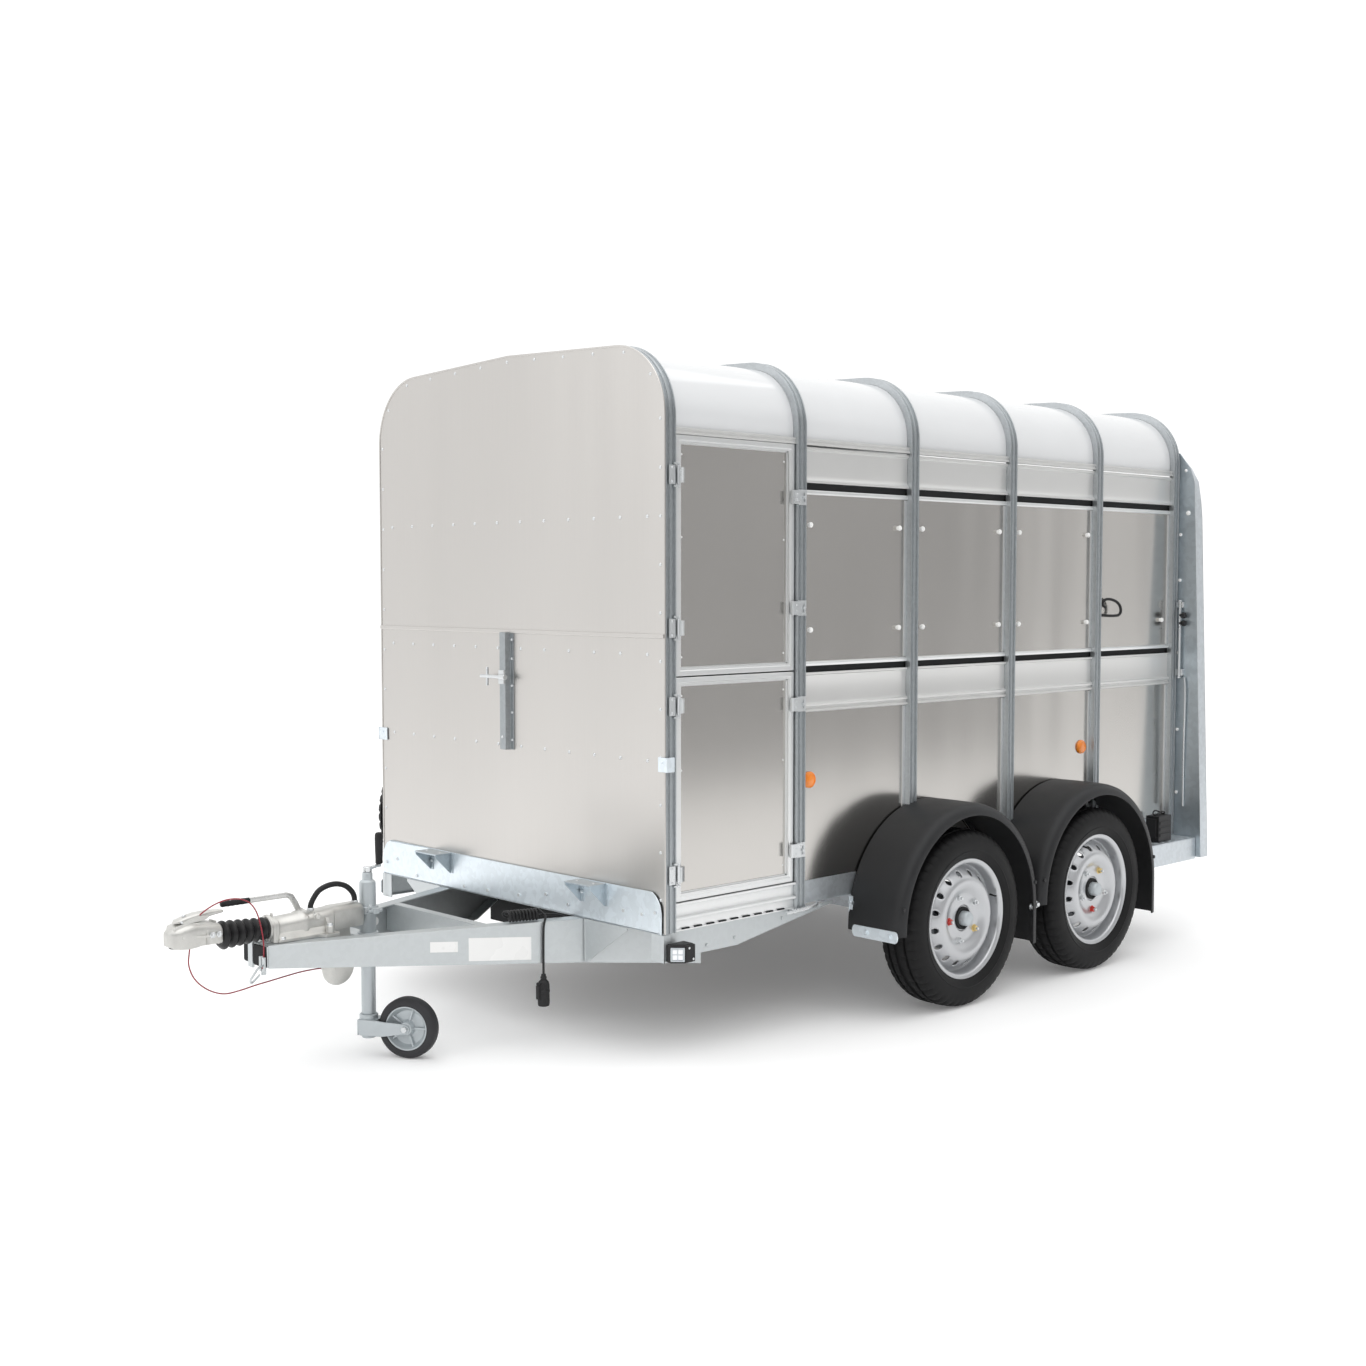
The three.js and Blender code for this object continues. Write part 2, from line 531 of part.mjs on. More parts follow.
const trailWay = new THREE.Vector3(Math.cos(JOCKEY_TURN), Math.sin(JOCKEY_TURN), 0);
const trailSide = new THREE.Vector3().crossVectors(trailWay, Z);
function jockeyFork() {
  const arm = [[-20, 68], [-20, 122], [60, 122], [JOCKEY_TRAIL + 12, 114], [JOCKEY_TRAIL + 18, 100], [JOCKEY_TRAIL + 12, 86], [60, 72]];
  const arms = [-35, 31].map((offset) => {
    const origin = trailSide.clone().multiplyScalar(offset).add(new THREE.Vector3(...JOCKEY, 0));
    return placed(prism(arm, 4), trailWay, Z, trailSide, origin.toArray());
  });
  const bridgeOrigin = trailSide.clone().multiplyScalar(-34).add(new THREE.Vector3(...JOCKEY, 0));
  const bridge = placed(prism([[-26, 68], [-26, 122], [26, 122], [26, 68]], 68), trailWay, Z, trailSide, bridgeOrigin.toArray());
  return cut(join(bridge, ...arms), rod(50, 140, 23.8, 'z', [...JOCKEY, 0], 20));
}
add('jockey_fork', jockeyFork(), greyPaint());

function jockeyWheel() {
  const segments = 24;
  const rolling = JOCKEY_WHEEL_RADIUS / Math.cos(Math.PI / segments);
  const profile = [[-29, 0], [-29, 20], [-12, 24], [-12, 62], [-24, 70], [-25, 90], [-16, rolling], [16, rolling], [25, 90],
    [24, 70], [12, 62], [12, 24], [29, 20], [29, 0]];
  const wheel = turned(profile, segments, 'x', [0, 0, 0], Math.PI / segments);
  wheel.rotateZ(Math.atan2(trailSide.y, trailSide.x));
  const centre = trailWay.clone().multiplyScalar(JOCKEY_TRAIL).add(new THREE.Vector3(...JOCKEY, JOCKEY_WHEEL_RADIUS));
  return wheel.translate(...centre.toArray());
}
add('jockey_wheel', jockeyWheel(), blackRubber());

// Cranked handle on the screw that winds the inner tube up and down.
function jockeyCrank() {
  const screw = rod(240, 618, 8, 'z', [...JOCKEY, 0], 12);
  const hub = rod(605, 622, 15, 'z', [...JOCKEY, 0], 12);
  const reach = new THREE.Vector3(-45, 75, 0);
  const armWay = reach.clone().normalize();
  const armSide = new THREE.Vector3().crossVectors(armWay, Z);
  const armStart = new THREE.Vector3(...JOCKEY, 0).addScaledVector(armSide, -8);
  const armOutline = [[0, 610], [reach.length(), 610], [reach.length(), 618], [0, 618]];
  const arm = placed(prism(armOutline, 16), armWay, Z, armSide, armStart.toArray());
  const grip = rod(612, 722, 14, 'z', [JOCKEY[0] + reach.x, JOCKEY[1] + reach.y, 0], 16);
  return join(screw, hub, arm, grip);
}
add('jockey_crank', jockeyCrank(), blackRubber());

// ---------------------------------------------------------------- leads, cable and hose
// Seven-core lead: out from under the headboard, a curly stretch on the left beam, then down to its plug.
const LEAD_RADIUS = 4;
const LEAD_ROUTE = [
  [338, -1, 421], [337.5, -12, 421], [337, -24, 422.5], [335, -38, 428], [333.5, -50, 433], [331, -64, 438],
  [330.5, -84, 443], [331, -104, 450], [329.5, -122, 458], [327, -133, 460], [325.3, -138.6, 460],
];
const CURL = { rear: [332, -143, 452], front: [296, -247, 452], radius: 21.5 };
const DROP_ROUTE = [
  [338.5, -143.1, 452], [341.2, -136, 451.8], [345.5, -131.5, 450], [352, -131.5, 446.5], [359.5, -137.5, 440],
  [365.3, -146, 430.5], [367, -151, 415], [366.5, -152, 385], [366, -152, 330], [366, -152, 285], [366, -152, 258.3],
];
add('cable_lead', tubeAlong(LEAD_ROUTE, LEAD_RADIUS, 8, 18), blackRubber());
add('cable_curl', tubeAlong([CURL.rear, CURL.front], CURL.radius, 12, 1), blackRubber());
add('cable_drop', tubeAlong(DROP_ROUTE, LEAD_RADIUS, 8, 24), blackRubber());

function plug() {
  const centre = [366, -152, 0];
  const body = rod(150, 237, 20, 'z', centre, 16);
  const neck = rod(235, 258, 10, 'z', centre, 12);
  const lid = box(centre[0] - 8, centre[0] + 8, centre[1] - 27, centre[1] - 15, 178, 226);
  return join(body, neck, lid);
}
add('cable_plug', plug(), blackRubber());

// Thin red cable from the brake quadrant, hanging in a loop to the underside of the coupling head.
const BREAKAWAY_ROUTE = [
  [0, -767, 314], [0, -800, 315], [0, -846, 314], [0, -900, 309], [0, -955, 303], [0, -1004, 298], [0, -1055, 291],
  [0, -1106, 289], [0, -1150, 304], [0, -1188, 331], [0, -1212, 362], [0, -1224, 398], [0, -1222, 430],
  [0, -1218, 455.4],
];
add('breakaway_cable', tubeAlong(BREAKAWAY_ROUTE, 2.2, 8, 44), redCable());

// Its upper stretch, from beside the coupling handle over the bellows to the guide under the drawbar's nose.
const GUIDE_ROUTE = [
  [20.5, -1196, 548], [27, -1190, 556], [36, -1172, 570], [46, -1148, 583], [52, -1116, 590], [55, -1078, 586],
  [56, -1046, 568], [56, -1024, 534], [56, -1010, 483], [57, -1004, 435], [59, -1006, 392], [62, -1012, 361],
];
add('guide_cable', tubeAlong(GUIDE_ROUTE, 2.2, 8, 36), redCable());

const HOSE_ROUTE = [
  [0, -805, 511.2], [0, -803, 526], [0, -790, 548], [0, -771, 567], [0, -740, 578], [0, -706, 579], [0, -674, 568],
  [0, -652, 548], [0, -643, 530], [0, -642, 515.2],
];
add('brake_hose', tubeAlong(HOSE_ROUTE, 9, 10, 20), blackRubber());

export default trailer;
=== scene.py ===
import bmesh
import bpy
import math
from mathutils import Matrix, Vector


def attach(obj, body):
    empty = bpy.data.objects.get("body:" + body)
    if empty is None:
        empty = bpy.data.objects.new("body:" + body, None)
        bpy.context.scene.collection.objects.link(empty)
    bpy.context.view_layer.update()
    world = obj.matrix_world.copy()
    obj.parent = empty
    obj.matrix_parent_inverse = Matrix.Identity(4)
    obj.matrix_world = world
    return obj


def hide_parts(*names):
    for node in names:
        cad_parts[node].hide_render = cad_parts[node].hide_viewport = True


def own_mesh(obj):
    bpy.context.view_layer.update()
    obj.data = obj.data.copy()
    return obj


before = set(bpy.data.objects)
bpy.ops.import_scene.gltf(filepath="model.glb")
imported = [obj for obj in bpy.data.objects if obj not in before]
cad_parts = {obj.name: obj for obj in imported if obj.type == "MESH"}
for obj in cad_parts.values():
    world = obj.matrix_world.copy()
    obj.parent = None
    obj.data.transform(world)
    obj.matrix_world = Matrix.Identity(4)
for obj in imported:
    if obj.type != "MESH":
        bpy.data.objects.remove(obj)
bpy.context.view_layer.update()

MM = 0.001
CENTRE = 932  # station of the frame's origin
TAU = 2 * math.pi
UP = Vector((0, 0, 1))


def at(x, s, z):
    """A point by its distance to the left, its station and its height, in the frame's metres."""
    return Vector((x * MM, (s - CENTRE) * MM, z * MM))


def add_object(name, data):
    made = bpy.data.objects.new(name, data)
    bpy.context.scene.collection.objects.link(made)
    return made


def add_node(tree, kind, **values):
    """A node with its properties and sockets set; an underscore stands for a space in a socket's name."""
    made = tree.nodes.new(kind)
    for key, value in values.items():
        if hasattr(made, key):
            setattr(made, key, value)
        else:
            made.inputs[key.replace("_", " ")].default_value = value
    return made


# ------------------------------------------------------------------ camera
camera_data = bpy.data.cameras.new("camera")
camera_data.lens = 43.66
camera_data.sensor_width = 36
camera = add_object("camera", camera_data)
camera.location = (4.5981, -4.4799, 1.5434)
camera.rotation_euler = (math.radians(86.579), 0, math.radians(46.384))
bpy.context.scene.camera = camera


# ------------------------------------------------------------------ materials
class Finish:
    """A node material: helpers add procedural patterns in the object's own metres."""

    def __init__(self, name, color, roughness, metallic=0.0):
        self.material = bpy.data.materials.new(name)
        self.material.use_nodes = True
        self.tree = self.material.node_tree
        self.shader = self.tree.nodes["Principled BSDF"]
        self.shader.inputs["Metallic"].default_value = metallic
        self.shader.inputs["Roughness"].default_value = roughness
        self.color = (*color, 1)
        self.shader.inputs["Base Color"].default_value = self.color

    def node(self, kind, **values):
        return add_node(self.tree, kind, **values)

    def link(self, source, target):
        self.tree.links.new(source, target)

    def place(self, stretch=(1, 1, 1)):
        where = self.node("ShaderNodeTexCoord").outputs["Object"]
        mapping = self.node("ShaderNodeMapping", vector_type="POINT")
        mapping.inputs["Scale"].default_value = stretch
        self.link(where, mapping.inputs["Vector"])
        return mapping.outputs["Vector"]

    def noise(self, scale, detail, stretch=(1, 1, 1)):
        made = self.node("ShaderNodeTexNoise", Scale=scale, Detail=detail, Roughness=0.5)
        self.link(self.place(stretch), made.inputs["Vector"])
        return made.outputs["Fac"]

    def cells(self, scale):
        made = self.node("ShaderNodeTexVoronoi", Scale=scale)
        self.link(self.place(), made.inputs["Vector"])
        split = self.node("ShaderNodeSeparateColor")
        self.link(made.outputs["Color"], split.inputs["Color"])
        return split.outputs["Red"]

    def spread(self, value, low, high):
        """Maps a pattern's usual range, 0.3 to 0.7, to low and high."""
        made = self.node("ShaderNodeMapRange", From_Min=0.3, From_Max=0.7, To_Min=low, To_Max=high)
        self.link(value, made.inputs["Value"])
        return made.outputs["Result"]

    def shade(self, *patterns):
        """Multiplies the base colour by each (value, low, high) pattern."""
        factor = None
        for value, low, high in patterns:
            step = self.spread(value, low, high)
            if factor is not None:
                both = self.node("ShaderNodeMath", operation="MULTIPLY")
                self.link(factor, both.inputs[0])
                self.link(step, both.inputs[1])
                step = both.outputs["Value"]
            factor = step
        scaled = self.node("ShaderNodeVectorMath", operation="SCALE")
        scaled.inputs["Vector"].default_value = self.color[:3]
        self.link(factor, scaled.inputs["Scale"])
        self.link(scaled.outputs["Vector"], self.shader.inputs["Base Color"])
        return self

    def gloss(self, value, low, high):
        self.link(self.spread(value, low, high), self.shader.inputs["Roughness"])
        return self

    def bump(self, value, distance, strength):
        made = self.node("ShaderNodeBump", Strength=strength, Distance=distance)
        self.link(value, made.inputs["Height"])
        self.link(made.outputs["Normal"], self.shader.inputs["Normal"])
        return self

    def set(self, **sockets):
        for key, value in sockets.items():
            self.shader.inputs[key.replace("_", " ")].default_value = value
        return self


def galvanised(name, color, roughness, spangle, size=70):
    """Zinc with its flakes, and slow clouds over them."""
    made = Finish(name, color, roughness, 0.85)
    flakes = made.cells(size)
    clouds = made.noise(5, 4)
    made.shade((flakes, 1 - spangle, 1 + spangle), (clouds, 1 - spangle * 0.6, 1 + spangle * 0.5))
    made.gloss(flakes, roughness - spangle * 0.5, roughness + spangle * 0.6)
    return made.bump(made.noise(220, 2), 0.0002, 0.3).material


GRAIN_MARK = 0.014


def rolled(name, color, roughness, sway=0.0, metallic=1.0, grain=(1, 1, 0.004)):
    """Mill-finish sheet: a fine grain along one way, and the slow waves of a thin panel in what it reflects, which
    also lighten and darken its colour a little as painted reflection bands.
    """
    made = Finish(name, color, roughness, metallic)
    lines = made.noise(640, 2, grain)
    warp_and_painted_bands = made.noise(1.7, 2, (1, 1, 0.16))
    # The slow waves also lighten and darken the colour a little: painted reflection bands.
    made.shade((lines, 1 - GRAIN_MARK, 1 + GRAIN_MARK), (warp_and_painted_bands, 0.98, 1.02))
    made.gloss(lines, roughness - 0.01, roughness + 0.015)
    slow = made.node("ShaderNodeBump", Strength=1.0, Distance=max(sway, 0.0001))
    made.link(warp_and_painted_bands, slow.inputs["Height"])
    fine = made.node("ShaderNodeBump", Strength=0.06, Distance=0.0001)
    made.link(lines, fine.inputs["Height"])
    made.link(slow.outputs["Normal"], fine.inputs["Normal"])
    made.link(fine.outputs["Normal"], made.shader.inputs["Normal"])
    return made.material


def coated(name, color, roughness, metallic=0.0, coat=0.0, fine=500):
    """Paint, plating or glass, with a clear coat where coat is above nought."""
    made = Finish(name, color, roughness, metallic)
    clouds = made.noise(3.5, 4)
    made.shade((clouds, 0.985, 1.012))
    made.gloss(clouds, roughness * 0.93, roughness * 1.08)
    made.bump(made.noise(fine, 2), 0.0001, 0.15)
    return made.set(Coat_Weight=coat, Coat_Roughness=0.08).material


def casting(name, color, roughness):
    """Cast metal with a sandy skin."""
    made = Finish(name, color, roughness, 0.8)
    sand = made.noise(260, 3)
    clouds = made.noise(14, 4)
    made.shade((clouds, 0.86, 1.08), (sand, 0.96, 1.04))
    made.gloss(sand, roughness - 0.08, roughness + 0.12)
    return made.bump(sand, 0.0006, 0.5).material


def moulded(name, color, roughness, grain=700, shine=0.32):
    """Rubber and plastic with a fine texture."""
    made = Finish(name, color, roughness)
    texture = made.noise(grain, 2)
    clouds = made.noise(7, 4)
    made.shade((clouds, 0.85, 1.15))
    made.gloss(clouds, roughness - 0.06, roughness + 0.06)
    return made.bump(texture, 0.0005, 0.45).set(Specular_IOR_Level=shine).material


FINISHES = (
    (rolled, "front_sheet", (0.59, 0.572, 0.55), 0.30, 0.03),
    (rolled, "side_sheet", (0.545, 0.528, 0.505), 0.18, 0.010),
    (coated, "plank", (0.66, 0.66, 0.65), 0.30, 0.6),
    (rolled, "door_frame", (0.76, 0.77, 0.77), 0.32, 0.0, 0.85),
    (galvanised, "hoops", (0.36, 0.385, 0.40), 0.30, 0.03, 120),
    # A lighter copy of the hoops zinc: a painted highlight for the hoops' flanks that look along the body.
    (galvanised, "hoop_edges", (0.50, 0.525, 0.54), 0.32, 0.03, 120),
    (galvanised, "drawbar", (0.58, 0.61, 0.62), 0.46, 0.015),
    (galvanised, "chassis", (0.60, 0.64, 0.67), 0.40, 0.04),
    (galvanised, "headboard", (0.76, 0.825, 0.87), 0.38, 0.035, 55),
    (galvanised, "rear_wing", (0.50, 0.56, 0.60), 0.34, 0.04, 55),
    (coated, "fittings", (0.66, 0.68, 0.69), 0.28, 0.85, 0.0, 260),
    (galvanised, "axle", (0.55, 0.58, 0.61), 0.5, 0.10),
    (coated, "roof", (0.68, 0.69, 0.70), 0.14, 0.0, 0.7),
    (rolled, "ramp", (0.72, 0.73, 0.74), 0.32, 0.0, 1.0, (0.004, 1, 1)),
    (coated, "rim", (0.52, 0.53, 0.545), 0.30, 0.7, 0.3, 900),
    (casting, "coupling", (0.62, 0.615, 0.59), 0.38),
    (casting, "handbrake", (0.70, 0.70, 0.69), 0.32),
    (coated, "jockey", (0.50, 0.54, 0.56), 0.38, 0.4),
    (moulded, "tyre", (0.008, 0.008, 0.0085), 0.58, 700, 0.22),
    (moulded, "jockey_tyre", (0.035, 0.035, 0.038), 0.6),
    (moulded, "mudguard", (0.018, 0.0185, 0.020), 0.46, 900),
    (moulded, "bellows", (0.012, 0.012, 0.013), 0.38),
    (moulded, "crank", (0.015, 0.015, 0.016), 0.45),
    (moulded, "plug", (0.016, 0.016, 0.017), 0.5),
    (moulded, "cable", (0.015, 0.015, 0.016), 0.42),
    (moulded, "hose", (0.014, 0.014, 0.015), 0.45),
    (moulded, "lamp_case", (0.014, 0.014, 0.015), 0.4),
    (moulded, "dark", (0.02, 0.021, 0.022), 0.8),
    (coated, "red_cable", (0.27, 0.008, 0.022), 0.3, 0.0, 0.2),
    (coated, "orange_lens", (0.90, 0.26, 0.01), 0.18, 0.0, 0.8),
    (coated, "red_lens", (0.55, 0.01, 0.01), 0.15, 0.0, 0.9),
    (coated, "red_paint", (0.50, 0.03, 0.02), 0.35, 0.0, 0.3),
    (coated, "white_lens", (0.92, 0.93, 0.95), 0.15, 0.0, 0.9),
    (coated, "white_cap", (0.86, 0.86, 0.85), 0.28, 0.0, 0.4),
    (coated, "brass_zinc", (0.72, 0.55, 0.24), 0.32, 0.8),
    (moulded, "floor", (0.10, 0.085, 0.07), 0.55, 240),
)
MATERIALS = {name: kind(name, *values) for kind, name, *values in FINISHES}


# ------------------------------------------------------------------ mesh building
def on_axis(axis, along, a, b):
    return {"x": (along, a, b), "s": (a, along, b), "z": (a, b, along)}[axis]


def ring_point(axis, origin, along, radius, angle):
    return Vector(origin) + Vector(on_axis(axis, along, radius * math.cos(angle), radius * math.sin(angle)))


def oblong(a0, a1, b0, b1):
    return [(a0, b0), (a1, b0), (a1, b1), (a0, b1)]


def span(side, near, far):
    """Low and high x of a plate between two distances from the middle plane, on side 1 or -1."""
    return sorted((side * near, side * far))


class Form:
    """One piece, gathered from shapes in millimetres."""

    def __init__(self):
        self.mesh = bmesh.new()

    def add(self, points, faces):
        made = [self.mesh.verts.new(point) for point in points]
        for face in faces:
            self.mesh.faces.new([made[i] for i in face])
        return self

    def grid(self, rows, loop_rows=False):
        """A skin over rows of points; each row closes on itself, and so can the rows as a whole."""
        tall, wide = len(rows), len(rows[0])
        points = [point for row in rows for point in row]
        faces = []
        for i in range(tall if loop_rows else tall - 1):
            for j in range(wide):
                i2, j2 = (i + 1) % tall, (j + 1) % wide
                faces.append((i * wide + j, i * wide + j2, i2 * wide + j2, i2 * wide + j))
        return self.add(points, faces)

    def loft(self, rings):
        """A closed body through rings of points, with a flat face at each end."""
        count = len(rings[0])
        points = [point for ring in rings for point in ring]
        faces = [tuple(range(count)), tuple(range(len(points) - count, len(points)))]
        for i in range(len(rings) - 1):
            for j in range(count):
                k = (j + 1) % count
                faces.append((i * count + j, i * count + k, (i + 1) * count + k, (i + 1) * count + j))
        return self.add(points, faces)

    def prism(self, axis, outline, low, high):
        """An outline across the axis, drawn out along it from low to high."""
        return self.loft([[on_axis(axis, along, a, b) for a, b in outline] for along in (low, high)])

    def box(self, x0, x1, s0, s1, z0, z1):
        return self.prism("z", oblong(x0, x1, s0, s1), z0, z1)

    def slab(self, origin, u, v, w, size):
        """A box by its corner, three directions and its three sizes."""
        o, u, v, w = Vector(origin), Vector(u).normalized(), Vector(v).normalized(), Vector(w).normalized()
        base = [o, o + u * size[0], o + u * size[0] + v * size[1], o + v * size[1]]
        return self.loft([base, [p + w * size[2] for p in base]])

    def lathe(self, axis, origin, profile, segments, closed=False):
        """A profile of (along, radius) points turned round the axis; closed joins its last point to its first."""
        rings = []
        for along, radius in profile:
            count = 1 if radius == 0 else segments
            rings.append([ring_point(axis, origin, along, radius, TAU * k / segments) for k in range(count)])
        starts, points = [], []
        for ring in rings:
            starts.append(len(points))
            points += ring
        faces = []
        pairs = list(zip(range(len(rings) - 1), range(1, len(rings))))
        if closed:
            pairs.append((len(rings) - 1, 0))
        for a, b in pairs:
            for k in range(segments):
                n = (k + 1) % segments
                corners = ((a, k), (a, n), (b, n), (b, k))
                face = list(dict.fromkeys(starts[ring] + turn % len(rings[ring]) for ring, turn in corners))
                if len(face) > 2:
                    faces.append(face)
        return self.add(points, faces)

    def rod(self, axis, origin, low, high, radius, segments, edge=1.0):
        """A round bar along the axis with a chamfer on both ends."""
        edge = min(edge, radius * 0.4, (high - low) * 0.4)
        profile = [(low, 0), (low, radius - edge), (low + edge, radius), (high - edge, radius), (high, radius - edge),
                   (high, 0)]
        return self.lathe(axis, origin, profile, segments)

    def dome(self, axis, origin, radius, height, segments=10):
        """A rivet or cap standing up from origin along the axis; a negative height points the other way."""
        profile = [(-0.2 * height, radius)] + [
            (height * math.sin(t * math.pi / 8), radius * math.cos(t * math.pi / 8)) for t in range(4)
        ] + [(height, 0)]
        return self.lathe(axis, origin, profile, segments)

    def hexagon(self, axis, origin, low, high, radius, turn=0.0):
        rings = []
        for along, size in ((low, radius), (high - 0.15 * (high - low), radius), (high, radius * 0.86)):
            rings.append([ring_point(axis, origin, along, size, turn + TAU * k / 6) for k in range(6)])
        return self.loft(rings)

    def tube(self, points, radius, sides):
        """A bent bar through points; radius is one number or one for each point."""
        points = [Vector(p) for p in points]
        way = (points[1] - points[0]).normalized()
        across = way.orthogonal().normalized()
        rings = []
        for i, point in enumerate(points):
            after = points[min(i + 1, len(points) - 1)]
            before = points[max(i - 1, 0)]
            turned = (after - before).normalized()
            across = way.rotation_difference(turned) @ across
            way = turned
            up = way.cross(across)
            size = radius[i] if isinstance(radius, (list, tuple)) else radius
            angles = [TAU * k / sides for k in range(sides)]
            rings.append([point + size * (across * math.cos(a) + up * math.sin(a)) for a in angles])
        return self.loft(rings)

    def moved(self, matrix):
        bmesh.ops.transform(self.mesh, matrix=matrix, verts=self.mesh.verts)
        return self

    def mirrored(self):
        """The same form on the trailer's other side."""
        other = Form()
        other.mesh = self.mesh.copy()
        other.moved(Matrix.Diagonal((-1, 1, 1, 1)))
        return other

    def piece(self, name, body, material, replaces=(), slot=None, bevel=0.0, angle=32, thick=0.0, segments=2):
        """Turns the form into a named object that rides a body, with its modifiers and replaced nodes. The slot
        argument is not used.
        """
        to_frame = Matrix.Translation(at(0, 0, 0)) @ Matrix.Diagonal((MM, MM, MM, 1))
        self.moved(to_frame)
        bmesh.ops.remove_doubles(self.mesh, verts=self.mesh.verts, dist=1e-7)
        bmesh.ops.recalc_face_normals(self.mesh, faces=self.mesh.faces)
        data = bpy.data.meshes.new(name)
        self.mesh.to_mesh(data)
        self.mesh.free()
        data.shade_smooth()
        data.set_sharp_from_angle(angle=math.radians(angle))
        data.materials.append(MATERIALS[material])
        made = add_object(name, data)
        if thick:
            shell = made.modifiers.new("thickness", "SOLIDIFY")
            shell.thickness = thick * MM
            shell.offset = 0
        if bevel:
            rounded = made.modifiers.new("edges", "BEVEL")
            rounded.width = bevel * MM
            rounded.segments = segments
            rounded.limit_method = "ANGLE"
            rounded.angle_limit = math.radians(34)
            rounded.use_clamp_overlap = True
            rounded.harden_normals = True
        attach(made, body)
        if replaces:
            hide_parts(*([replaces] if isinstance(replaces, str) else replaces))
        return made


def smooth(points, steps):
    """A Catmull-Rom curve through the points."""
    points = [Vector(p) for p in points]
    ends = [points[0] * 2 - points[1]] + points + [points[-1] * 2 - points[-2]]
    curve = []
    for i in range(1, len(ends) - 2):
        a, b, c, d = ends[i - 1 : i + 3]
        for k in range(steps):
            t = k / steps
            curve.append(
                0.5 * ((2 * b) + (c - a) * t + (2 * a - 5 * b + 4 * c - d) * t * t + (3 * b - a - 3 * c + d) * t ** 3)
            )
    return curve + [points[-1]]


def pair(name, form, body, material, replaces=None, **options):
    """The same piece on both sides; name and replaced node end in _left or _right, and body in place of HAND."""
    for made, hand in ((form, "left"), (form.mirrored(), "right")):
        node = f"{replaces}_{hand}" if replaces else ()
        made.piece(f"{name}_{hand}", body.replace("HAND", hand), material, node, **options)


def finish_node(node, material):
    """Gives a node of the frame that stays visible its own material."""
    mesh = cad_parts[node].data
    mesh.materials.clear()
    mesh.materials.append(MATERIALS[material])


# ------------------------------------------------------------------ cords, cables and hose
def cord_curve(name, points, diameter, material):
    """A round cord along points in millimetres, and its length in metres."""
    data = bpy.data.curves.new(name, "CURVE")
    data.dimensions = "3D"
    data.bevel_depth = diameter / 2
    data.bevel_resolution = 3
    data.resolution_u = 6
    data.use_fill_caps = True
    spline = data.splines.new("POLY")
    spline.points.add(len(points) - 1)
    for target, point in zip(spline.points, points):
        target.co = (*at(*point), 1)
    spline.use_smooth = True
    data.materials.append(MATERIALS[material])
    made = add_object(name, data)
    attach(made, "trailer")
    placed = [at(*point) for point in points]
    length = sum((b - a).length for a, b in zip(placed, placed[1:]))
    return made, length


LEAD_ROUTE = [
    (338, -1, 421), (337.5, -12, 421), (337, -24, 422.5), (335, -38, 428), (333.5, -50, 433), (331, -64, 438),
    (325, -84, 441), (316, -108, 442), (309, -128, 442), (300, -152, 441), (287, -190, 440), (276, -218, 441),
    (269, -234, 446), (269, -244, 455), (277, -246, 464),
]
CURL_REAR, CURL_FRONT = Vector((332, -143, 452)), Vector((296, -247, 452))
DROP_ROUTE = [
    (345.5, -131.5, 450), (352, -131.5, 446.5), (359.5, -137.5, 440), (365.3, -146, 430.5), (367, -151, 415),
    (366.5, -152, 385), (366, -152, 330), (366, -152, 285), (366, -152, 258.3),
]
BREAKAWAY_ROUTE = [
    (0, -767, 314), (0, -800, 315), (0, -846, 314), (0, -900, 309), (0, -955, 303), (0, -1004, 298), (0, -1055, 291),
    (0, -1106, 289), (0, -1150, 304), (0, -1188, 331), (0, -1212, 362), (0, -1224, 398), (0, -1222, 430),
    (0, -1218, 455),
]
GUIDE_ROUTE = [
    (20.5, -1196, 548), (27, -1190, 556), (36, -1172, 570), (46, -1148, 583), (52, -1116, 590), (55, -1078, 586),
    (56, -1046, 568), (56, -1024, 534), (56, -1010, 483), (57, -1004, 435), (59, -1006, 392), (62, -1012, 361),
]
HOSE_ROUTE = [
    (0, -805, 511.2), (0, -803, 526), (0, -790, 548), (0, -771, 567), (0, -740, 578), (0, -706, 579), (0, -674, 568),
    (0, -652, 548), (0, -643, 530), (0, -642, 515.2),
]


CURL_TURNS, CURL_RADIUS, CURL_STEPS, CURL_END = 9, 16.5, 16, 3


def curl_points():
    """The curly stretch, wound from its front end back to where the lead drops off the beam."""
    way = (CURL_FRONT - CURL_REAR).normalized()
    side = way.cross(UP).normalized()
    length = (CURL_FRONT - CURL_REAR).length
    points = []
    for k in range(CURL_TURNS * CURL_STEPS + 1):
        t = k / (CURL_TURNS * CURL_STEPS)
        angle = TAU * CURL_TURNS * t + math.pi / 2
        centre = CURL_FRONT.lerp(CURL_REAR, t * (length - 2 * CURL_END) / length + CURL_END / length)
        points.append(centre + CURL_RADIUS * (side * math.cos(angle) + UP * math.sin(angle)))
    return points


LEAD_DIAMETER, RED_DIAMETER, HOSE_DIAMETER = 0.008, 0.0044, 0.018
lead_points = smooth(LEAD_ROUTE, 5) + curl_points() + smooth(DROP_ROUTE, 4)
lead, lead_length = cord_curve("lighting_lead", lead_points, LEAD_DIAMETER, "cable")
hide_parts("cable_lead", "cable_curl", "cable_drop")

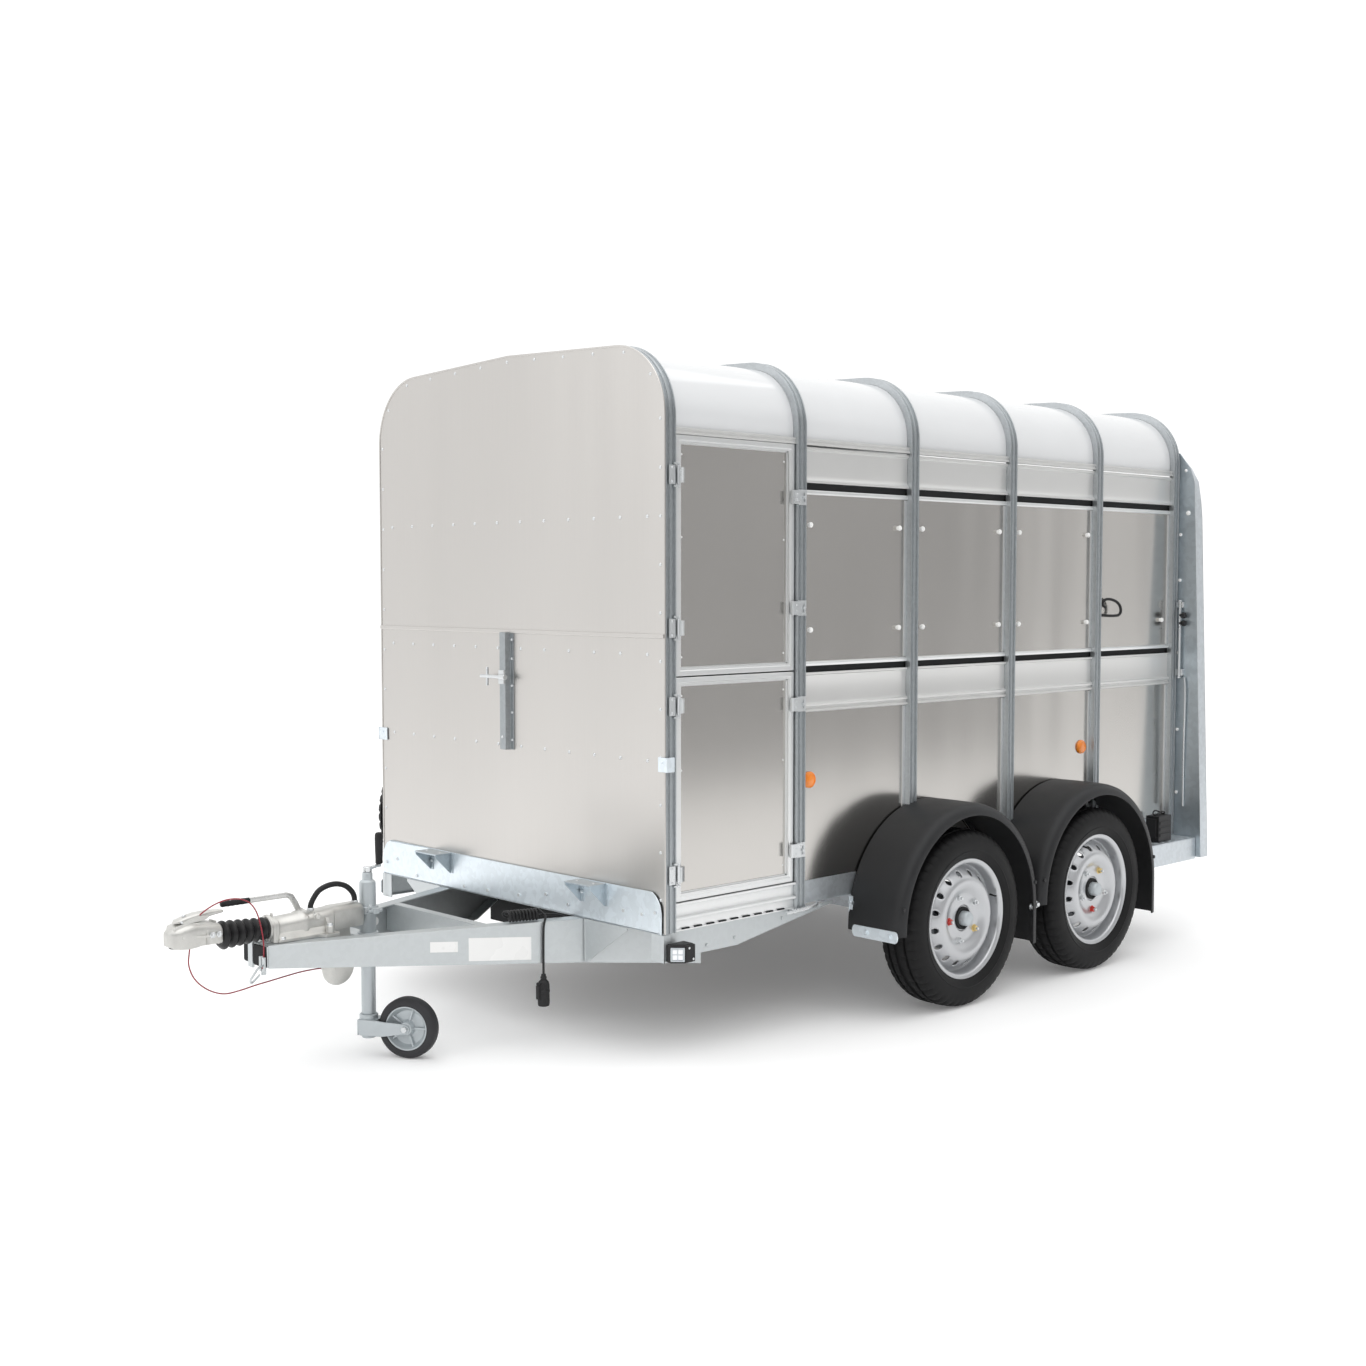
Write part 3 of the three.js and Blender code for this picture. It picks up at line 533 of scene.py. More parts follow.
plug = Form()
PLUG_X, PLUG_S = 366, -152
plug_axis = (PLUG_X, PLUG_S, 0)
plug.lathe("z", plug_axis, [
    (258, 4.2), (257, 7.5), (250, 8.5), (248, 10.5), (243, 10.5), (241, 9), (237, 12), (231, 17.5), (222, 19),
    (206, 19.5), (204, 21), (198, 21), (196, 19.5), (182, 20), (160, 20), (152, 18.5), (150.5, 15), (151, 0),
], 28)
plug.lathe("z", plug_axis, [(258, 4.2), (258, 0)], 28)
for k in range(10):
    angle = TAU * k / 10
    x, s = PLUG_X + 19 * math.cos(angle), PLUG_S + 19 * math.sin(angle)
    plug.rod("z", (x, s, 0), 206, 224, 1.6, 8)
plug.box(359, 373, -179, -170, 176, 222)
plug.rod("x", (0, -172, 226), 357, 375, 5, 12)
plug_piece = plug.piece("lighting_plug", "trailer", "plug", "cable_plug", "plug", bevel=0.8)

for name, route, node, diameter, material, stiffness, lay in (
    ("breakaway_cable_red", BREAKAWAY_ROUTE, "breakaway_cable", RED_DIAMETER, "red_cable", "medium", "hanging"),
    ("guide_cable_red", GUIDE_ROUTE, "guide_cable", RED_DIAMETER, "red_cable", "stiff", "loose"),
    ("brake_hose_black", HOSE_ROUTE, "brake_hose", HOSE_DIAMETER, "hose", "stiff", "loose"),
):
    piece, length = cord_curve(name, smooth(route, 5), diameter, material)
    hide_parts(node)


# ------------------------------------------------------------------ outline of the body
HALF, CORNER, RIDGE = 798, 240, 2330  # outer half width, corner radius and highest point
SLOPE = 0.0387  # fall of the roof from ridge to corner
FOOT_Z = 432  # lower edge of panels and hoops
BAY, BAYS, HOOP_WIDTH, HOOP_DEPTH = 610, 5, 44, 24
SHEET_FRONT, SHEET_REAR = -4, -0.4  # stations of the front sheet's two faces
BODY_END = BAY * BAYS + HOOP_WIDTH
SLOPE_ANGLE = math.atan(SLOPE)
ARCH_STEPS = 18


def arch_side(inset, foot):
    """The left half of the body's cross section from its foot to the ridge, moved inward by inset."""
    radius = CORNER - inset
    centre_x = HALF - CORNER
    shoulder = RIDGE - SLOPE * (centre_x + CORNER * math.sin(SLOPE_ANGLE))
    centre_z = shoulder - CORNER * math.cos(SLOPE_ANGLE)
    side = [(HALF - inset, foot)]
    for k in range(ARCH_STEPS + 1):
        angle = k / ARCH_STEPS * (math.pi / 2 - SLOPE_ANGLE)
        side.append((centre_x + radius * math.cos(angle), centre_z + radius * math.sin(angle)))
    side.append((0, RIDGE - inset / math.cos(SLOPE_ANGLE)))
    return side


def arch(inset, foot):
    left = arch_side(inset, foot)
    return left + [(-x, z) for x, z in reversed(left[:-1])]


def along_outline(points, spacing, start):
    """Evenly spaced points along an open line of (x, z) points."""
    found, gone, due = [], 0.0, start
    for (x0, z0), (x1, z1) in zip(points, points[1:]):
        length = math.hypot(x1 - x0, z1 - z0)
        while due <= gone + length:
            t = (due - gone) / length
            found.append((x0 + t * (x1 - x0), z0 + t * (z1 - z0)))
            due += spacing
        gone += length
    return found


# ------------------------------------------------------------------ front wall
FRONT_SEAM = 1380
lower_front = Form().prism("s", oblong(-796, 796, FOOT_Z, FRONT_SEAM), SHEET_FRONT, SHEET_REAR)
lower_front.piece("front_sheet_lower", "trailer", "front_sheet", "front_panel_lower", "front_sheet", bevel=1.2)

upper_front = Form().prism("s", arch(1.5, FRONT_SEAM + 0.5), SHEET_FRONT, SHEET_REAR)
upper_front.piece("front_sheet_upper", "trailer", "front_sheet", "front_panel_upper", "front_sheet", bevel=1.2)

seam = Form()
seam.prism("x", [(-4, 1386), (-9, 1386), (-10.5, 1384), (-10.5, 1374), (-9, 1372), (-6, 1372), (-6, 1379), (-4, 1380)],
           -795, 795)
seam.piece("front_seam_ledge", "trailer", "front_sheet", slot="front_sheet", bevel=0.8)

edge_trim = Form()
outer, inner = arch(0.5, FOOT_Z), arch(7, FOOT_Z)
rows = []
for (x0, z0), (x1, z1) in zip(outer, inner):
    rows.append([(x0, -6, z0), (x0, SHEET_REAR, z0), (x1, SHEET_REAR, z1), (x1, -6, z1)])
edge_trim.loft(rows)
edge_trim.piece("front_edge_fold", "trailer", "front_sheet", slot="front_sheet", bevel=1.0)

rivets = Form()
for height in (1757, 1320, 981):
    for k in range(12):
        rivets.dome("s", (-715 + 130 * k, SHEET_FRONT, height), 6.4, -3.6)
for x, z in along_outline(arch(22, 470), 152, 70):
    rivets.dome("s", (x, SHEET_FRONT, z), 6.0, -3.4)
rivets.piece("front_rivets", "trailer", "fittings", slot="fittings")

channel = Form()
section = [(-47, -4), (-47, -7), (-30, -7), (-26, -27), (6, -27), (10, -7), (27, -7), (27, -4), (6, -4), (3, -23),
           (-23, -23), (-26, -4)]
channel.prism("z", section, 966, 1376)
channel.piece("front_channel", "trailer", "hoops", slot="hoops", bevel=1.4)
latch_pin = Form()
latch_pin.rod("x", (0, -36, 1220), -122, 10, 6.5, 16)
latch_pin.rod("z", (-85, -36, 0), 1187, 1253, 5, 14)
latch_pin.rod("x", (0, -36, 1220), -14, 18, 10, 16)
latch_pin.box(-24, 6, -34, -26, 1196, 1244)
for height in (1000, 1096, 1190, 1284, 1350):
    for x in (-38, 18):
        latch_pin.dome("s", (x, -7, height), 5, -3.4)
latch_pin.dome("s", (-10, -27, 1010), 6, -5)
latch_pin.piece("front_channel_pin", "trailer", "fittings", slot="fittings", bevel=0.6)

tabs = Form()
for x0, x1, z0, z1 in ((770, 812, 950, 997), (-812, -758, 947, 994)):
    tabs.prism("s", oblong(x0, x1, z0, z1), -10, -6)
    tabs.dome("s", ((x0 + x1) / 2, -10, (z0 + z1) / 2 + 8), 4.5, -3.5)
    edge = x1 - 4 if x0 > 0 else x0
    tabs.box(edge, edge + 4, -10, 24, z0, z1)
tabs.piece("front_edge_tabs", "trailer", "headboard", slot="headboard", bevel=1.2)

# ------------------------------------------------------------------ headboard
board = Form()
half = 788
outline = [
    (-half, 430.5), (half, 430.5), (half, 500), (half - 5, 522), (half - 14, 538), (half - 28, 553), (half - 48, 562),
    (48 - half, 562), (28 - half, 553), (14 - half, 538), (5 - half, 522), (-half, 500),
]
board.prism("s", outline, -13, -9)
board.prism("x", [(-13, 562), (-9, 562), (-5, 558), (-5, 545), (-9, 545), (-9, 556)], 48 - half, half - 48)
board.prism("x", oblong(-13, -6, 431, 436), 6 - half, half - 6)
board.piece("headboard_plate", "trailer", "headboard", "headboard", "headboard", bevel=1.5)
SHELF_CENTRES = (-406, 456)
shelves = Form()
for centre in SHELF_CENTRES:
    shelves.prism("x", [(-84, 557), (-84, 562), (-13, 562), (-13, 558)], centre - 66, centre + 66)
    for edge in (-63, 60):
        gusset = [(-84, 560), (-80, 548), (-17, 487), (-11, 485), (-11, 560)]
        shelves.prism("x", gusset, centre + edge - 2, centre + edge + 2)
        shelves.box(centre + edge - 2, centre + edge + 16, -16, -13, 487, 558)
# The brackets take the darker rear_wing zinc, not the headboard's: painted shade for their gussets.
shelves.piece("headboard_brackets", "trailer", "rear_wing", slot="headboard", bevel=1.2)
bolts = Form()
for x in (-760, -690, -560, -260, -120, 60, 210, 330, 610, 700, 762):
    bolts.hexagon("s", (x, -13, 470 + 30 * math.sin(x)), 0, -5, 6.5)
for centre in SHELF_CENTRES:
    for x in (-52, 50):
        bolts.hexagon("s", (centre + x, -17, 520), 1, -5, 6)
        bolts.dome("z", (centre + x * 0.8, -46, 562), 5, 2.5)
bolts.piece("headboard_bolts", "trailer", "fittings", slot="fittings")

# ------------------------------------------------------------------ hoops
HOOP_SECTION = [
    (0, 24), (44, 24), (44, 1.2), (43, 0), (39.5, 0), (38, 6), (28, 6), (26.5, 1), (17.5, 1), (16, 6), (6, 6),
    (4.5, 0), (1, 0), (0, 1.2),
]
HOOP_LINES = {inset: arch(inset, FOOT_Z) for _, inset in HOOP_SECTION}
for k in range(BAYS + 1):
    hoop = Form()
    count = len(HOOP_LINES[HOOP_DEPTH])
    rows = [[(HOOP_LINES[d][i][0], k * BAY + w, HOOP_LINES[d][i][1]) for w, d in HOOP_SECTION] for i in range(count)]
    hoop.loft(rows)
    made = hoop.piece(f"hoop_{k + 1}", "trailer", "hoops", slot="hoops", bevel=0.7, angle=28)
    made.data.materials.append(MATERIALS["hoop_edges"])
    # Flank faces that look along the body get the lighter copy, a painted highlight; the rest keep the darker hoops
    # zinc.
    for face in made.data.polygons:
        face.material_index = int(abs(face.normal.y) > 0.9)
    if k == 0:
        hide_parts("hoop_frame")

# ------------------------------------------------------------------ roof
EAVES = 2034
outer, inner = arch(24.3, EAVES + 0.5), arch(28.3, EAVES + 0.5)
for k in range(BAYS):
    low = 0.5 if k == 0 else k * BAY + HOOP_WIDTH / 2
    high = BODY_END if k == BAYS - 1 else (k + 1) * BAY + HOOP_WIDTH / 2
    sheet = Form()
    ring = outer + inner[::-1]
    count = len(outer)
    rows = [[(x, s, z) for x, z in ring] for s in (low, high - 0.2)]
    points = [point for row in rows for point in row]
    total = len(ring)
    faces = [(i, i + 1, total + i + 1, total + i) for i in range(total - 1)] + [(total - 1, 0, total, 2 * total - 1)]
    for base in (0, total):
        faces += [(base + i, base + i + 1, base + total - 2 - i, base + total - 1 - i) for i in range(count - 1)]
    sheet.add(points, faces)
    made = sheet.piece(f"roof_sheet_{k + 1}", "trailer", "roof", slot="roof", angle=50)
    if k == 0:
        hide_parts("roof_skin")

# ------------------------------------------------------------------ sides: rails, planks, sheets and sills
CANT = [
    (768, 2015), (786, 2015), (788.5, 2017), (788.5, 2021), (785, 2023), (785, 2030), (788, 2032), (788, 2036),
    (780, 2038), (777, 2033.5), (768, 2033.5),
]
TOP_PLANK = [
    (769, 1888), (783, 1888), (785, 1890), (785, 1896), (781, 1899), (778, 1905), (776.5, 1915), (776, 1945),
    (776.5, 1985), (778, 1996), (782, 2000), (784, 2001), (784, 2008), (782, 2010), (769, 2010),
]
MIDDLE_PLANK = [
    (774.2, 1103), (785, 1103), (787, 1105), (787, 1111), (785, 1113), (781, 1114), (781, 1121), (786, 1123),
    (787, 1125), (787, 1130), (785, 1132), (780, 1135), (778, 1142), (777, 1152), (777, 1224), (779, 1230),
    (784, 1232), (785, 1234), (785, 1238), (783, 1240), (774.2, 1240),
]
LOWER_SHEET, UPPER_SHEET = (518.4, 1238), (1262, 1864)  # lower and upper edges; a slot lies above each
SHEET_IN, SHEET_OUT = 769.9, 773.7
BAY_GAP = 0.4
UPPER_LIP = [(773.8, 1848), (778, 1849), (781, 1853), (781, 1860), (778, 1864), (769, 1864), (769, 1860),
             (773.8, 1858)]
LOWER_LIP = [(773.8, 1278), (778, 1277), (781, 1274), (781, 1266), (779, 1262), (769, 1262), (769, 1265),
             (773.8, 1268)]


cant = Form().prism("s", CANT, 10, BODY_END - 10)
pair("cant_rail", cant, "trailer", "plank", slot="side_sheet", bevel=0.6)

for hand, side, first in (("left", 1, 1), ("right", -1, 0)):
    for k in range(first, BAYS):
        start, end = k * BAY + HOOP_WIDTH + BAY_GAP, (k + 1) * BAY - BAY_GAP
        planks, sheets, lips = Form(), Form(), Form()
        for outline in (TOP_PLANK, MIDDLE_PLANK):
            planks.prism("s", [(side * x, z) for x, z in outline], start, end)
        for low, high in (LOWER_SHEET, UPPER_SHEET):
            x0, x1 = span(side, SHEET_IN, SHEET_OUT)
            sheets.prism("s", oblong(x0, x1, low, high), start - 10, end + 10)
        for outline in (UPPER_LIP, LOWER_LIP):
            lips.prism("s", [(side * x, z) for x, z in outline], start, end)
        for low, high in ((524, 1100), (1280, 1846)):
            for s0, s1 in ((start, start + 9), (end - 15, end)):
                x0, x1 = span(side, 773.6, 776)
                lips.prism("s", oblong(x0, x1, low, high), s0, s1)
        planks.piece(f"planks_{hand}_{k + 1}", "trailer", "plank", slot="side_sheet", bevel=0.7)
        made = sheets.piece(f"side_sheets_{hand}_{k + 1}", "trailer", "side_sheet", slot="side_sheet", bevel=0.5)
        lips.piece(f"sheet_lips_{hand}_{k + 1}", "trailer", "door_frame", slot="side_sheet", bevel=0.5)
        if k == BAYS - 1:
            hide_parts(f"upper_panel_{hand}", f"lower_panel_{hand}")

# Near-black strips just inside the slots above the sheets: painted shade for the dark inside of the body seen through
# the slots.
for hand, side, start in (("left", 1, BAY + HOOP_WIDTH), ("right", -1, HOOP_WIDTH)):
    shade_strips = Form()
    for low, high in ((1232, 1268), (1856, 1894)):
        section = [(762, low), (766, low), (766, high - 4), (768, high - 2), (768, high), (762, high)]
        shade_strips.prism("s", [(side * x, z) for x, z in section], start, BODY_END - 10)
    shade_strips.piece(f"slot_shade_strips_{hand}", "trailer", "dark", slot="side_sheet", bevel=0.5)

CAP = [(0, 7.5), (7, 7.5), (7.5, 9.5), (11, 10), (14.5, 8.5), (16.5, 5), (17, 0)]
caps = Form()
for height, stations in ((1745, (689, 1169, 1302, 1780, 1912, 2397)),
                         (1386, (691, 1168, 1307, 1780, 1913, 2395, 2986))):
    for station in stations:
        caps.lathe("x", (SHEET_OUT, station, height), CAP, 16)
pair("white_caps", caps, "trailer", "white_cap")

MARKER_Z = 868
markers = Form()
for station in (697, 2378):
    markers.lathe("x", (774, station, MARKER_Z), [
        (0, 29), (4, 29), (6, 28), (6, 26), (8, 25.5), (10, 22), (11, 15), (11.4, 7), (11.5, 0),
    ], 36)
    for ring in (8, 15, 22):
        ridge = [(9.4, ring - 0.9), (11.8, ring - 0.3), (11.8, ring + 0.3), (9.4, ring + 0.9)]
        markers.lathe("x", (774, station, MARKER_Z), ridge, 36)
pair("side_markers", markers, "trailer", "orange_lens")

ring_plate = Form()
ring_plate.prism("x", [(2487, 1402), (2512, 1402), (2514, 1404), (2514, 1474), (2512, 1476), (2487, 1476)], 774, 777.5)
for height in (1411, 1467):
    ring_plate.dome("x", (777.5, 2500, height), 5, 3.5, 12)
ring_plate.piece("tie_hook_plate", "trailer", "hoops", slot="fittings", bevel=0.6)
loop = Form()
loop.tube(smooth([(778, 2510, 1414), (790, 2532, 1411), (802, 2574, 1410), (808, 2600, 1414), (810, 2611, 1430),
                  (808, 2604, 1454),
                  (802, 2580, 1472), (792, 2545, 1480), (783, 2524, 1474), (779, 2516, 1456)], 5), 6.0, 12)
loop.tube(smooth([(779, 2516, 1456), (784, 2524, 1450), (786, 2536, 1442)], 5), [6.0] * 10 + [4.0], 12)
loop.piece("tie_hook", "trailer", "lamp_case", slot="fittings")

rail = Form()
rail.prism("s", [
    (717.5, 438), (770, 438), (772.5, 440.5), (772.5, 515.5), (770, 518), (717.5, 518), (717.5, 513), (767.5, 513),
    (767.5, 443), (717.5, 443),
], 0.3, BODY_END)
pair("side_rail", rail, "trailer", "chassis", replaces="side_rail", slot="chassis", bevel=1.5)

SILL = [
    (774, 432), (789, 432), (789, 436), (784, 440), (784, 462), (786, 466), (795, 468), (796, 470), (796, 474),
    (794, 476), (785, 478), (784, 484), (784, 508), (786, 514), (795, 516), (796, 518), (796, 521), (794, 524),
    (774, 524),
]
sill = Form().prism("s", SILL, HOOP_WIDTH + 0.5, BAY - 0.5)
sill.piece("door_sill", "trailer", "door_frame", slot="side_sheet", bevel=0.6)
slots = Form()
for k in range(9):
    slots.box(784.2, 789.5, 78 + 56 * k, 112 + 56 * k, 436.6, 441)
slots.piece("sill_slots", "trailer", "dark", slot="chassis", bevel=0.6)

# ------------------------------------------------------------------ door leaves, hinges and catches
DOOR = {"front": 54, "rear": 606, "bottom": 526, "split": 1248, "top": 2014}
HINGE_X, HINGE_S = 803, 50
UPPER_HINGES, LOWER_HINGES = (1886, 1404), (1157, 618)


def door_leaf(name, low, high, barrels):
    """A leaf between two heights: frame bars, sheet, beading with its rivets, and hinges at the barrels' heights."""
    body = f"door_{name}"
    front, rear, width = DOOR["front"], DOOR["rear"], 25
    bars = Form()
    face = [(763, 0), (763, width), (783, width), (783, width - 6), (785, width - 8), (786, width - 9), (786, 2),
            (784, 0)]
    corners = [(front, low, 1, 1), (rear, low, -1, 1), (rear, high, -1, -1), (front, high, 1, -1)]
    rings = [[(x, s + ds * w, z + dz * w) for x, w in face] for s, z, ds, dz in corners]
    points = [point for ring in rings for point in ring]
    count = len(face)
    faces = []
    for i in range(4):
        n = (i + 1) % 4
        for j in range(count):
            m = (j + 1) % count
            faces.append((i * count + j, i * count + m, n * count + m, n * count + j))
    bars.add(points, faces)
    made = bars.piece(f"{body}_frame", body, "door_frame", slot="side_sheet", bevel=0.8)
    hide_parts(body)
    panel = Form().box(767, 771, front + width - 6, rear - width + 6, low + width - 6, high - width + 6)
    panel.piece(f"{body}_sheet", body, "side_sheet", slot="side_sheet", bevel=0.5)
    bead = Form()
    inset = width - 1
    for s0, s1, z0, z1 in (
        (front + inset, front + inset + 5, low + inset, high - inset),
        (rear - inset - 5, rear - inset, low + inset, high - inset),
        (front + inset, rear - inset, low + inset, low + inset + 5),
        (front + inset, rear - inset, high - inset - 5, high - inset),
    ):
        bead.box(770.5, 775, s0, s1, z0, z1)
    for height in (low + 60, (low + high) / 2 + 60, high - 60):
        for station in (front + 38, rear - 38):
            bead.dome("x", (771, station, height), 3.6, 2.2, 8)
    bead.piece(f"{body}_beading", body, "door_frame", slot="side_sheet", bevel=0.6)
    hinge = Form()
    for height in barrels:
        axis = (HINGE_X, HINGE_S, 0)
        hinge.rod("z", axis, height - 29, height + 29, 6.3, 20, 1.2)
        arm = [(HINGE_X - 4, HINGE_S + 2), (HINGE_X + 5, HINGE_S + 3), (HINGE_X + 5, HINGE_S + 7), (800, HINGE_S + 28),
               (794, HINGE_S + 33), (785, HINGE_S + 33), (785, HINGE_S + 6), (793, HINGE_S + 6)]
        hinge.prism("z", arm, height - 24, height + 24)
        hinge.rod("z", axis, height - 35, height + 35, 3.6, 12, 0.8)
        for lift in (10, -10):
            hinge.dome("x", (798, HINGE_S + 20, height + lift), 4.5, 5)
    hinge.piece(f"{body}_hinges", body, "fittings", slot="fittings", bevel=1.2, segments=3)


door_leaf("upper", DOOR["split"] + 2, DOOR["top"], UPPER_HINGES)
door_leaf("lower", DOOR["bottom"], DOOR["split"] - 2, LOWER_HINGES)

LATCHES = {"upper_top": 1836, "upper_low": 1462, "lower_top": 1135, "lower_low": 634}
for place, height in LATCHES.items():
    catch = Form()
    catch.rod("z", (793, 588, 0), height - 22, height + 22, 5.8, 18)
    wrap = [(789, 583), (793, 580.5), (799, 582), (803.5, 587), (803.5, 626), (799.7, 626), (799.7, 592), (793, 592)]
    catch.prism("z", wrap, height - 23, height + 23)
    for low, high in ((-23, -15), (15, 23)):
        catch.box(799.7, 803.5, 625, 644, height + low, height + high)
    catch.box(799.7, 803.5, 639, 644, height - 16, height + 16)
    for lift in (9, -9):
        catch.dome("x", (803.5, 600, height + lift), 4, 2)
    catch.piece(f"latch_{place}", f"latch_{place}", "fittings", f"door_latch_{place}", "fittings", bevel=0.9)

keepers = Form()
for height in LATCHES.values():
    keepers.box(798, 799.4, 611, 652, height - 26, height + 26)
    keepers.rod("x", (0, 632, height), 799, 812, 5, 14)
    for lift in (-20, 20):
        keepers.dome("x", (799.4, 618, height + lift), 3.6, 2)
for height in UPPER_HINGES + LOWER_HINGES:
    keepers.box(798, 800, 12, 38, height - 30, height + 30)
    for lift in (-22, 22):
        eye = height + lift * 1.62
        keepers.dome("x", (800, 24, height + lift), 4, 3)
        keepers.rod("z", (HINGE_X, HINGE_S, 0), eye - 3, eye + 3, 5.5, 14)
        keepers.box(798, 804, 30, 47, eye - 3, eye + 3)
keepers.piece("door_keepers", "trailer", "fittings", slot="fittings", bevel=0.6)

# ------------------------------------------------------------------ floor, skirt plates and outriggers
for node, material in (("floor_deck", "floor"), ("axle_front", "axle"), ("axle_rear", "axle")):
    finish_node(node, material)

brace = Form()
brace.prism("x", [(-10, 345), (340, 345), (822, 424), (822, 429.5), (-10, 429.5)], 773.6, 776.4)
brace.prism("x", [(-10, 345), (340, 345), (822, 424), (822, 427), (340, 348), (-10, 348)], 758, 776)
brace.prism("s", [(412, 284), (424, 284), (626, 420), (626, 429.5), (412, 429.5)], -14, -10)
brace.slab((412, -13, 282), (1, 1, 0), (0, 0, 1), (1, -1, 0), (388, 147, 4))
brace.prism("z", [(686, 261), (690, 257), (776, 343), (776, 349)], 345, 429.5)
brace.prism("s", oblong(738, 797, 341, 429.5), -10, -6)
brace.box(793, 797, -10, 20, 341, 429.5)
for station, height in ((40, 366), (200, 366), (330, 372), (560, 404), (760, 420)):
    brace.hexagon("x", (776.4, station, height), 0, 4, 6)
pair("skirt_brace", brace, "trailer", "drawbar", replaces="chassis_brace", slot="chassis", bevel=1.2)

stay = Form()
outline = [(812 - 13 * math.sin(math.pi * k / 8), 318 + 21 * math.cos(math.pi * k / 8)) for k in range(9)]
outline += [(992 + 13 * math.sin(math.pi * k / 8), 318 - 21 * math.cos(math.pi * k / 8)) for k in range(9)]
stay.prism("s", outline, 900, 904.5)
stay.box(779, 783, 905, 962, 372, 437)
outline = [(783, 437), (783, 372), (800, 330), (822, 326), (822, 336), (806, 342), (796, 374), (796, 437)]
stay.prism("s", outline, 906, 911)
stay.hexagon("x", (783, 926, 404), 0, 8, 9)
stay.rod("s", (792, 0, 414), 896, 912, 7, 14)
for x in (865, 971):
    stay.lathe("s", (x, 900, 318), [(0, 11), (-2, 11), (-2.6, 8), (-2.6, 0)], 20)
    stay.hexagon("s", (x, 900, 318), -2.4, -8, 7)
pair("mudguard_stay", stay, "trailer", "headboard", slot="headboard", bevel=1.2)

clip = Form()
clip.tube(smooth([(800, 556, 424), (812, 596, 428), (816, 650, 432), (806, 700, 436), (792, 722, 438)], 5), 6, 10)
clip.rod("x", (0, 600, 426), 779, 806, 9, 14)
clip.piece("rail_hook", "trailer", "fittings", slot="fittings")

# ------------------------------------------------------------------ front corner lamps
lamp = Form()
lamp.prism("z", [(797, -1), (815, -1), (821, 2), (848, 29), (853, 36), (853, 74), (847, 80), (797, 80)], 345, 400)
lamp.prism("z", [(799, 3), (814, 3), (847, 36), (847, 70), (843, 75), (799, 75)], 342, 403)
pair("corner_lamp_case", lamp, "trailer", "lamp_case", bevel=3.5, segments=3)
centre, out, across = Vector((834, 15.5, 372)), Vector((1, -1, 0)).normalized(), Vector((1, 1, 0)).normalized()
glass = Form()
for u in (-17, 1.5):
    for v in (-17, 1.5):
        glass.slab(centre + across * u + Vector((0, 0, v)) + out * 0.4, across, (0, 0, 1), out, (15.5, 15.5, 3.6))
pair("corner_lamp_lens", glass, "trailer", "white_lens", bevel=2.6, segments=3)
rim_bar = Form()
for u0, u1, v0, v1 in ((-22, 22, 18, 22), (-22, 22, -22, -18), (-22, -18, -18, 18), (18, 22, -18, 18)):
    rim_bar.slab(centre + across * u0 + Vector((0, 0, v0)), across, (0, 0, 1), out, (u1 - u0, v1 - v0, 5.5))
rim_bar.slab(centre + across * -18 + Vector((0, 0, -18)), across, (0, 0, 1), out, (36, 36, 1.2))
pair("corner_lamp_bezel", rim_bar, "trailer", "chassis", bevel=1.4)
screws = Form()
for s, z in ((48, 391), (66, 354)):
    screws.rod("x", (0, s, z), 853, 855.2, 4, 14, 0.8)
pair("corner_lamp_screws", screws, "trailer", "fittings", slot="fittings")

# ------------------------------------------------------------------ drawbar
SPREAD = 0.351
ALONG = Vector((SPREAD, 1, 0)).normalized()
OUTWARD = ALONG.cross(UP)
CORNER_POINT = Vector((62, -992, 0))


def beam_band(form, low_line, high_line, deep, start):
    """A plate between two lines of (run, height) points, deep thick, beginning start inboard of the outer face."""
    ring = [CORNER_POINT + ALONG * run + Vector((0, 0, z)) - OUTWARD * start for run, z in low_line + high_line[::-1]]
    form.loft([ring, [p - OUTWARD * deep for p in ring]])


beam = Form()
BOTTOM = [(0, 358), (1030, 280), (1200, 280), (1500, 385)]
TOP = [(run, 429.6) for run, _ in BOTTOM]
beam_band(beam, BOTTOM, TOP, 5, 0)
beam_band(beam, BOTTOM, [(run, z + 6) for run, z in BOTTOM], 45, 5)
beam_band(beam, [(run, 424) for run, _ in BOTTOM], TOP, 45, 5)
pair("drawbar_beam", beam, "trailer", "drawbar", replaces="drawbar_beam", slot="drawbar", bevel=2.4, segments=3)

nose = Form()
nose.box(-66, 66, -998, -993, 362, 428)
nose.prism("s", oblong(-38, -11, 352, 431), -1006, -998)
nose.box(40, 72, -1012, -1006, 352, 398)
nose.box(52, 58, -1012, -996, 340, 400)
nose.tube(smooth([(60, -1012, 372), (66, -1030, 366), (70, -1046, 350), (64, -1054, 334), (54, -1046, 322),
                  (52, -1030, 330),
                  (56, -1018, 344)], 5), 3.6, 10)
nose.box(-150, 150, -640, -584, 399, 403)
cross = oblong(-288, 288, -330, -322)
nose.prism("z", cross, 330, 428)
nose.prism("z", [(-288, -330), (288, -330), (276, -296), (-276, -296)], 420, 428)
nose.piece("drawbar_cross_members", "trailer", "drawbar", slot="drawbar", bevel=1.4)

buffer = Form()
for x0, x1, low, high in ((-70, -40, 366, 424), (-9, 62, 362, 428)):
    outline = [(x0 + 4, low), (x1 - 4, low), (x1, low + 6), (x1, high - 4), (x1 - 4, high), (x0 + 4, high),
               (x0, high - 4), (x0, low + 6)]
    buffer.prism("s", outline, -1003, -997)
buffer.piece("drawbar_end_pads", "trailer", "dark", slot="plug", bevel=2, segments=3)
